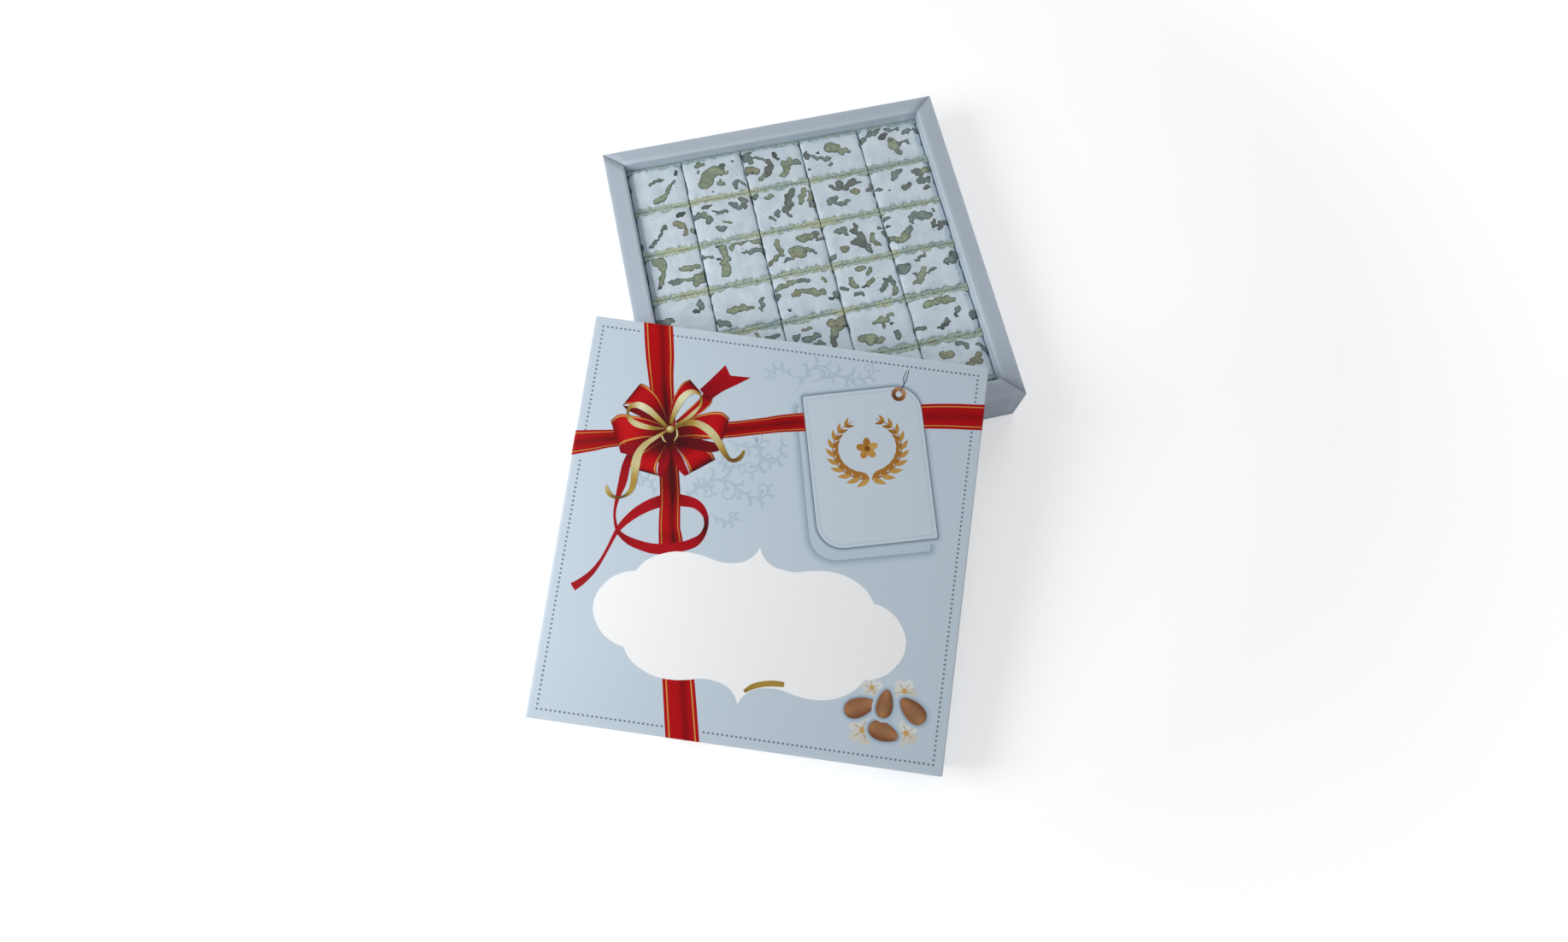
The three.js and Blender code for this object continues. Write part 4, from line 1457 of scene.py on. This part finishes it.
class Piece:
    """One piece of nougat, in its own frame: centred on its solid in plan, with z as in the tray."""

    def __init__(self, node):
        low, high = (Vector(corner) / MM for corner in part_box(node))
        self.node = node
        self.name = node.replace("nougat_", "")
        self.centre = ((low.x + high.x) / 2, (low.y + high.y) / 2)
        self.half_x = (high.x - low.x) / 2
        self.core = (high.y - low.y) / 2 - WAFER
        self.low = low.z
        self.high = high.z
        self.middle = (self.low + self.high) / 2
        self.nut_x = self.half_x - 0.1
        self.nut_y = self.core - 0.25
        self.seed = 7.3 * int(self.name[1]) + 1.7 * int(self.name[4])
        self.dice = random.Random(self.name)
        self.lift = self.dice.uniform(-0.35, 0.3)
        self.lean = (self.dice.uniform(-0.022, 0.022), self.dice.uniform(-0.022, 0.022))
        self.slump = [self.dice.uniform(0.2, 0.9), self.dice.uniform(0.2, 0.9)]
        if self.name.endswith("c1"):
            self.slump[0] = LEFT_SLUMP
        if self.name.endswith("c5"):
            self.slump[1] = RIGHT_SLUMP
        self.creases = []
        for _ in range(2):
            heading = self.dice.uniform(0, math.pi)
            offset = self.dice.uniform(-0.7, 0.7) * self.core
            self.creases.append((math.cos(heading), math.sin(heading), offset))

    def placed(self, points):
        return [(x + self.centre[0], y + self.centre[1], z) for x, y, z in points]

    def wobble(self, x, y, size):
        return ripple(x / size, y / size, self.seed)

    def top(self, x, y):
        """Height of the nougat's upper face."""
        level = self.high - 0.72 + self.lift + self.lean[0] * x + self.lean[1] * y
        level += 0.4 * (1 - (y / self.core) ** 2) + 0.25 * (1 - (x / self.half_x) ** 4)
        level += 0.55 * self.wobble(x, y, 10) + 0.2 * self.wobble(x, y, 3.6)
        level -= self.slump[int(x > 0)] * smooth_step(self.half_x - 5, self.half_x + 0.5, abs(x))
        for c, s, offset in self.creases:
            along, aside = x * c + y * s, y * c - x * s
            level -= 0.5 * hump(aside, offset, 0.8) * max(0.0, self.wobble(along, 30 + offset, 9))
        return level

    def lobes(self, x, side):
        """How far the nougat runs out over the wafer on one side, from 0 to 1."""
        spread = 0.42 + 1.0 * self.wobble(x, 40 * side, 4.4) + 0.6 * self.wobble(x, 70 * side, 1.7)
        return clamped(spread, 0.0, 1.0)

    def flank(self, y, z, side):
        """How far a flank stands off the solid's, in or out."""
        wave = ripple(y / 6.5, z / 11, self.seed + 5 * side)
        chip = ripple(y / 2.2, z / 3, self.seed + 9 * side)
        return min(0.05, 0.05 - 1.3 * max(0.0, wave - 0.05) - 0.35 * max(0.0, chip))


def make_core(piece):
    """The nougat between the wafers, which runs out over their tops in places."""
    half_z = (piece.high - CORE_DROP - piece.low) / 2
    half = (piece.half_x + CORE_GROWTH, piece.core, half_z)
    points, faces = soft_block(half, CORE_FOLD, (0.7, 1.1, 2.2))
    shaped = []
    for x, y, z in points:
        level = piece.low + half_z + z
        if z > 0:
            level += (piece.top(x, y) - piece.high + CORE_DROP) * (z / half_z)
        side = math.copysign(1, x)
        x += side * piece.flank(y, z, side) * smooth_step(half[0] - 3.0, half[0] - 0.5, abs(x))
        side = math.copysign(1, y)
        over = smooth_step(half_z - 3.0, half_z - 1.0, z)
        over *= smooth_step(piece.core - 2.2, piece.core - 0.3, abs(y))
        y += side * over * (2.0 * piece.lobes(x, side) + 0.1)
        shaped.append((x, y, level))
    core = make_piece(piece.node + "_core", piece.placed(shaped), faces, NOUGAT_PASTE, piece.node)
    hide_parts(piece.node)


def make_wafers(piece):
    """The embossed wafers on the front and the back of the nougat, with ragged tops."""
    batch = Batch()
    thick = (WAFER + WAFER_GROWTH) / 2
    half_z = (WAFER_TOP - piece.low) / 2
    points, faces = soft_block((piece.half_x, thick, half_z), WAFER_FOLD, (0.5, 0.5, 1.25))
    for side in (-1, 1):
        shift = piece.dice.uniform(0, 4)
        shaped = []
        hollows = []
        for x, y, z in points:
            lump = ripple(x / 2.6, y / 1.8 + 20 * side, piece.seed)
            crumb = ripple(x / 0.8, y / 0.8 + 20 * side, piece.seed)
            twist = math.sin(2 * math.pi * (x + 1.1 * side * y + 1.5 * lump) / 2.5)
            near_top = smooth_step(half_z - 2.0, half_z, z)
            relief = 0.45 * lump + 0.22 * crumb + 0.22 * twist - 0.35 * (y / thick) ** 4
            ridge_x = abs(math.sin(math.pi * (x + shift) / EMBOSS_PITCH))
            ridge_z = abs(math.sin(math.pi * (z + 0.5 * shift) / EMBOSS_PITCH))
            hollow = smooth_step(0.3, 0.75, min(ridge_x, ridge_z)) * smooth_step(0.0, thick, side * y)
            hollow *= (abs(x) < piece.half_x - EMBOSS_MARGIN) * (abs(z) < half_z - EMBOSS_MARGIN)
            depth = side * (piece.core + thick - EMBOSS_DEPTH * hollow)
            shaped.append((x, depth + y, piece.low + half_z + z + near_top * relief))
            # Painted shade in the embossed hollows and the low places of the ragged top
            hollows.append(max(0.75 * hollow, near_top * clamped(-1.1 * relief, 0.0, 0.85)))
        # Painted shade on the back row's back faces
        cool = BACK_COOL if side > 0 and piece.name.startswith("r1") else 0.0
        batch.add(piece.placed(shaped), faces, hollow=hollows, cool=[cool] * len(shaped))
    batch.piece(piece.node + "_wafers", WAFER_CRUST, piece.node, "nougat")


def unit_ball():
    ball = bmesh.new()
    bmesh.ops.create_icosphere(ball, subdivisions=2, radius=1.0)
    points = [v.co.copy() for v in ball.verts]
    faces = [tuple(v.index for v in f.verts) for f in ball.faces]
    ball.free()
    return points, faces


def nut_lobes(piece, nut):
    """Lobes that make up one nut, as place in the nut's own frame, length, width and angle."""
    _, _, length, width, angle, _ = nut
    count = max(2, round(1.7 * length / width)) + 1
    lobes = []
    for k in range(count):
        along = (2 * k / (count - 1) - 1) * (length - 0.62 * width) / 2
        aside = piece.dice.uniform(-0.26, 0.26) * width
        size = width * piece.dice.uniform(0.62, 1.05) * (1 - 0.4 * (2 * along / length) ** 2)
        length_share = piece.dice.uniform(1.0, 1.6)
        twist = piece.dice.uniform(-50, 50)
        lobes.append((*turned([(along, aside)], angle)[0], size * length_share, size, angle + twist))
    return lobes


def nut_shape(piece, ball, nut):
    """Point lists of a nut's lobes, which lie flat about the nut's place, ragged round their edges."""
    shapes = []
    for across, up, length, width, angle in nut_lobes(piece, nut):
        turn = Matrix.Rotation(math.radians(angle), 3, "Z")
        reach = min(1.0, width / 3)
        shape = []
        for point in ball:
            spot = turn @ Vector((point.x * length / 2, point.y * width / 2, point.z * NUT_DEPTH))
            spot += Vector((across + nut[0], up + nut[1], 0))
            lobe = noise.noise_vector(spot / 2.4 + Vector((0, 0, piece.seed)))
            tooth = noise.noise_vector(spot / 1.1 + Vector((0, 0, piece.seed)))
            ragged = Vector((0.8 * lobe.x + 0.35 * tooth.x, 0.8 * lobe.y + 0.35 * tooth.y, 0))
            shape.append(spot + reach * ragged)
        shapes.append(shape)
    return shapes


def nut_share(across, up, nut):
    """How far out a place is in a nut, from 0 at its middle to 1 at its edge."""
    angle = math.radians(nut[4])
    along = across * math.cos(angle) + up * math.sin(angle)
    aside = up * math.cos(angle) - across * math.sin(angle)
    return math.hypot(2 * along / nut[2], 2 * aside / nut[3])


def nut_values(piece, points, tops, flanks):
    """Skin and tint at the points of a piece's nuts, which are dark round each cut and paler within it."""
    ripeness = {nut: piece.dice.uniform(0.86, 1.12) for nut in [*tops, *(nut for _, nut in flanks)]}
    nearest = []
    buried = []
    for x, y, z in points:
        depth = piece.top(x, y) + NUT_PROUD - z
        if depth > TOP_NUT_DEPTH:
            depth = piece.nut_x - abs(x)
            here = [nut for side, nut in flanks if side * x > 0]
            across, up = y, z - piece.middle
        else:
            here = tops
            across, up = x, y
        nearest.append(min((nut_share(across - nut[0], up - nut[1], nut), nut) for nut in here)[1])
        buried.append(depth > 0.06)
    tree = kdtree.KDTree(sum(buried))
    for index, (spot, under) in enumerate(zip(points, buried)):
        if under:
            tree.insert(spot, index)
    tree.balance()
    skins = []
    tints = []
    for spot, nut in zip(points, nearest):
        inset = tree.find(spot)[2]
        light = ripeness[nut] * (0.76 + 0.24 * smooth_step(0.2, NUT_SHADE, inset))
        skins.append(1 - smooth_step(0.1, NUT_RIM, inset))
        tints.append([light * c for c in NUT_TINTS[nut[5]][:3]] + [1.0])
    return {"skin": skins, "tint": tints}


def make_nuts(piece, ball):
    """The nuts of one piece, cut off just above its upper face and at its flanks."""

    def on_top(spot):
        x = clamped(spot.x, -piece.nut_x, piece.nut_x)
        y = clamped(spot.y, -piece.nut_y, piece.nut_y)
        ceiling = piece.top(x, y) + NUT_PROUD
        return (x, y, min(ceiling, ceiling - NUT_SINK + spot.z))

    def on_flank(spot, side):
        y = clamped(spot.x, -piece.nut_y, piece.nut_y)
        z = clamped(piece.middle + spot.y, piece.low + 0.5, piece.high - 2.5)
        return (side * (piece.nut_x + min(0.0, spot.z - NUT_SINK)), y, z)

    points, faces = ball
    batch = Batch()
    tops = NUTS.get(piece.name)
    if tops is None:
        tops = scattered_nuts(piece.dice, TOP_NUTS, piece.half_x - 3, piece.core - 3)
    tops = [(x, y, 1.02 * length + 0.3, 1.06 * width + 0.4, *rest) for x, y, length, width, *rest in tops]
    for nut in tops:
        for shape in nut_shape(piece, points, nut):
            batch.add([on_top(spot) for spot in shape], faces)
    flanks = []
    for side in (-1, 1):
        for nut in scattered_nuts(piece.dice, SIDE_NUTS, piece.core - 3, piece.middle - piece.low - 4):
            flanks.append((side, nut))
    for side, nut in flanks:
        for shape in nut_shape(piece, points, nut):
            batch.add([on_flank(spot, side) for spot in shape], faces)
    shell, shell_faces = merged(batch, NUT_VOXEL)
    values = nut_values(piece, shell, tops, flanks)
    name = piece.node + "_nuts"
    make_piece(name, piece.placed(shell), shell_faces, NUT_KERNEL, piece.node, True, values)


def make_nougat():
    ball = unit_ball()
    for node in sorted(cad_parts):
        if node.startswith("nougat_"):
            piece = Piece(node)
            make_core(piece)
            make_wafers(piece)
            make_nuts(piece, ball)


# Stage, light and camera

FLOOR_HALF = 3000
FLOOR_LEVEL = -0.05
# The floor's own light under the box, and the distances between which it grows to full white
FLOOR_GLOW = 0.4
FLOOR_FADE = (350, 1100)
# Lamps: place in mm, size in mm, power in watts and the place it is aimed at
LAMPS = (
    ("key_lamp", (-560, -105, 420), 420, 2.9, (-40, -90, 0)),
    ("back_lamp", (500, 700, 700), 700, 1.4, (0, 0, 0)),
)
# Strength of the light from all round
WORLD_LIGHT = 0.355


def seen_rays(tree):
    """1 for rays from the camera, a reflection or clear stuff, and 0 for those that light the scene."""
    rays = tree.nodes.new("ShaderNodeLightPath")
    total = rays.outputs["Is Camera Ray"]
    for kind in ("Is Glossy Ray", "Is Transmission Ray"):
        either = tree.nodes.new("ShaderNodeMath")
        either.operation = "MAXIMUM"
        tree.links.new(total, either.inputs[0])
        tree.links.new(rays.outputs[kind], either.inputs[1])
        total = either.outputs[0]
    return total


def make_floor():
    corners = [(x * FLOOR_HALF, y * FLOOR_HALF, FLOOR_LEVEL) for x, y in ((-1, -1), (1, -1), (1, 1), (-1, 1))]
    mesh = bpy.data.meshes.new("floor")
    mesh.from_pydata([tuple(c * MM for c in corner) for corner in corners], [], [(0, 1, 2, 3)])
    ground = Surface("floor_paint", Roughness=0.85)
    ground.colour(ground.mix(ground.grain(160), srgb(246, 247, 248), srgb(250, 250, 251)))
    place = ground.add("ShaderNodeNewGeometry", {}, "Position")
    reach = ground.add("ShaderNodeVectorMath", {0: place}, "Value", operation="LENGTH")
    near, far = (distance * MM for distance in FLOOR_FADE)
    spread = {"Value": reach, "From Min": near, "From Max": far, "To Min": FLOOR_GLOW}
    glow = ground.combine("MULTIPLY", seen_rays(ground.tree), ground.add("ShaderNodeMapRange", spread))
    ground.feed(ground.shader, {"Emission Color": (1.0, 1.0, 1.0, 1.0), "Emission Strength": glow})
    mesh.materials.append(ground.material)
    floor = new_object("floor", mesh)


def make_light():
    for name, place, size, power, aim in LAMPS:
        lamp = bpy.data.lights.new(name, "AREA")
        lamp.shape = "DISK"
        lamp.size = size * MM
        lamp.energy = power
        holder = new_object(name, lamp)
        spot = Vector(place) * MM
        holder.location = spot
        holder.rotation_euler = (Vector(aim) * MM - spot).to_track_quat("-Z", "Y").to_euler()
    world = bpy.data.worlds.new("studio")
    world.use_nodes = True
    bpy.context.scene.world = world
    tree = world.node_tree
    light = tree.nodes["Background"]
    light.inputs["Color"].default_value = (0.97, 0.985, 1.0, 1.0)
    light.inputs["Strength"].default_value = WORLD_LIGHT
    backdrop = tree.nodes.new("ShaderNodeBackground")
    backdrop.inputs["Color"].default_value = (1.0, 1.0, 1.0, 1.0)
    chosen = tree.nodes.new("ShaderNodeMixShader")
    tree.links.new(seen_rays(tree), chosen.inputs[0])
    tree.links.new(light.outputs[0], chosen.inputs[1])
    tree.links.new(backdrop.outputs[0], chosen.inputs[2])
    tree.links.new(chosen.outputs[0], tree.nodes["World Output"].inputs["Surface"])
    bpy.context.scene.view_settings.view_transform = "Standard"


def make_camera():
    lens = bpy.data.cameras.new("camera")
    lens.sensor_width = 36
    lens.lens = FOCAL_LENGTH * lens.sensor_width / PHOTO_WIDTH
    lens.shift_x = (PHOTO_WIDTH / 2 - OPTICAL_CENTRE[0]) / PHOTO_WIDTH
    lens.shift_y = (OPTICAL_CENTRE[1] - PHOTO_HEIGHT / 2) / PHOTO_WIDTH
    camera = new_object("camera", lens)
    camera.matrix_world = (
        Matrix.Translation(Vector(CAMERA_PLACE) * MM)
        @ Matrix.Rotation(math.radians(CAMERA_YAW), 4, "Z")
        @ Matrix.Rotation(math.radians(CAMERA_PITCH), 4, "X")
        @ Matrix.Rotation(math.radians(CAMERA_ROLL), 4, "Z")
    )
    bpy.context.scene.camera = camera


TRAY_CARD = tray_card()
LID_CARD = lid_card()
LID_INSIDE_CARD = lid_inside_card()
GOLD_LINES = ((118, 56, 24), (206, 148, 76))
RIBBON_INK = ribbon_ink("ribbon_ink", ((74, 2, 6), (164, 3, 12), (194, 12, 18)), GOLD_LINES)
BOW_INK = ribbon_ink("bow_ink", ((44, 2, 6), (164, 3, 14), (204, 20, 24)), GOLD_LINES, 0.44, 0.03)
CURL_INK = ribbon_ink("curl_ink", ((58, 4, 10), (152, 6, 20), (196, 16, 30)))
GOLD_INK = ribbon_ink("gold_ink", ((86, 50, 22), (176, 148, 66), (228, 226, 184)))
EYELET_INK = ribbon_ink("eyelet_ink", ((92, 52, 28), (148, 96, 58), (206, 158, 112)))
BEAD_INK = fading_ink("bead_ink", (72, 88, 104), (193, 209, 223))
GLINT_INK = plain_ink("glint_ink", (198, 210, 222), (210, 220, 230))
SCROLL_INK = fading_ink("scroll_ink", (160, 179, 195), (195, 210, 223))
SHADOW_INK = fading_ink("shadow_ink", (112, 132, 150), (193, 209, 223))
UNDERLAY_INK = plain_ink("underlay_ink", (186, 203, 217), (192, 208, 221), 60)
TAG_INK = plain_ink("tag_ink", (199, 213, 225), (204, 217, 228), 60)
CARTOUCHE_INK = plain_ink("cartouche_ink", (251, 252, 253), (254, 254, 254), 60)
PETAL_INK = fading_ink("petal_ink", (206, 196, 178), (226, 230, 230))
HEART_INK = plain_ink("heart_ink", (196, 152, 84), (214, 176, 112), 3)
ALMOND_INK = ribbon_ink("almond_ink", ((76, 44, 26), (134, 86, 54), (178, 128, 88)))
WREATH_INK = ribbon_ink("wreath_ink", ((122, 70, 26), (176, 122, 52), (214, 178, 104)))
GROOVE_INK = fading_ink("groove_ink", (82, 50, 32), (196, 178, 150))
NOUGAT_PASTE = nougat_paste()
WAFER_CRUST = wafer_crust()
NUT_KERNEL = nut_kernel()

make_camera()
make_light()
make_floor()
make_tray()
make_nougat()
make_lid()
make_print()
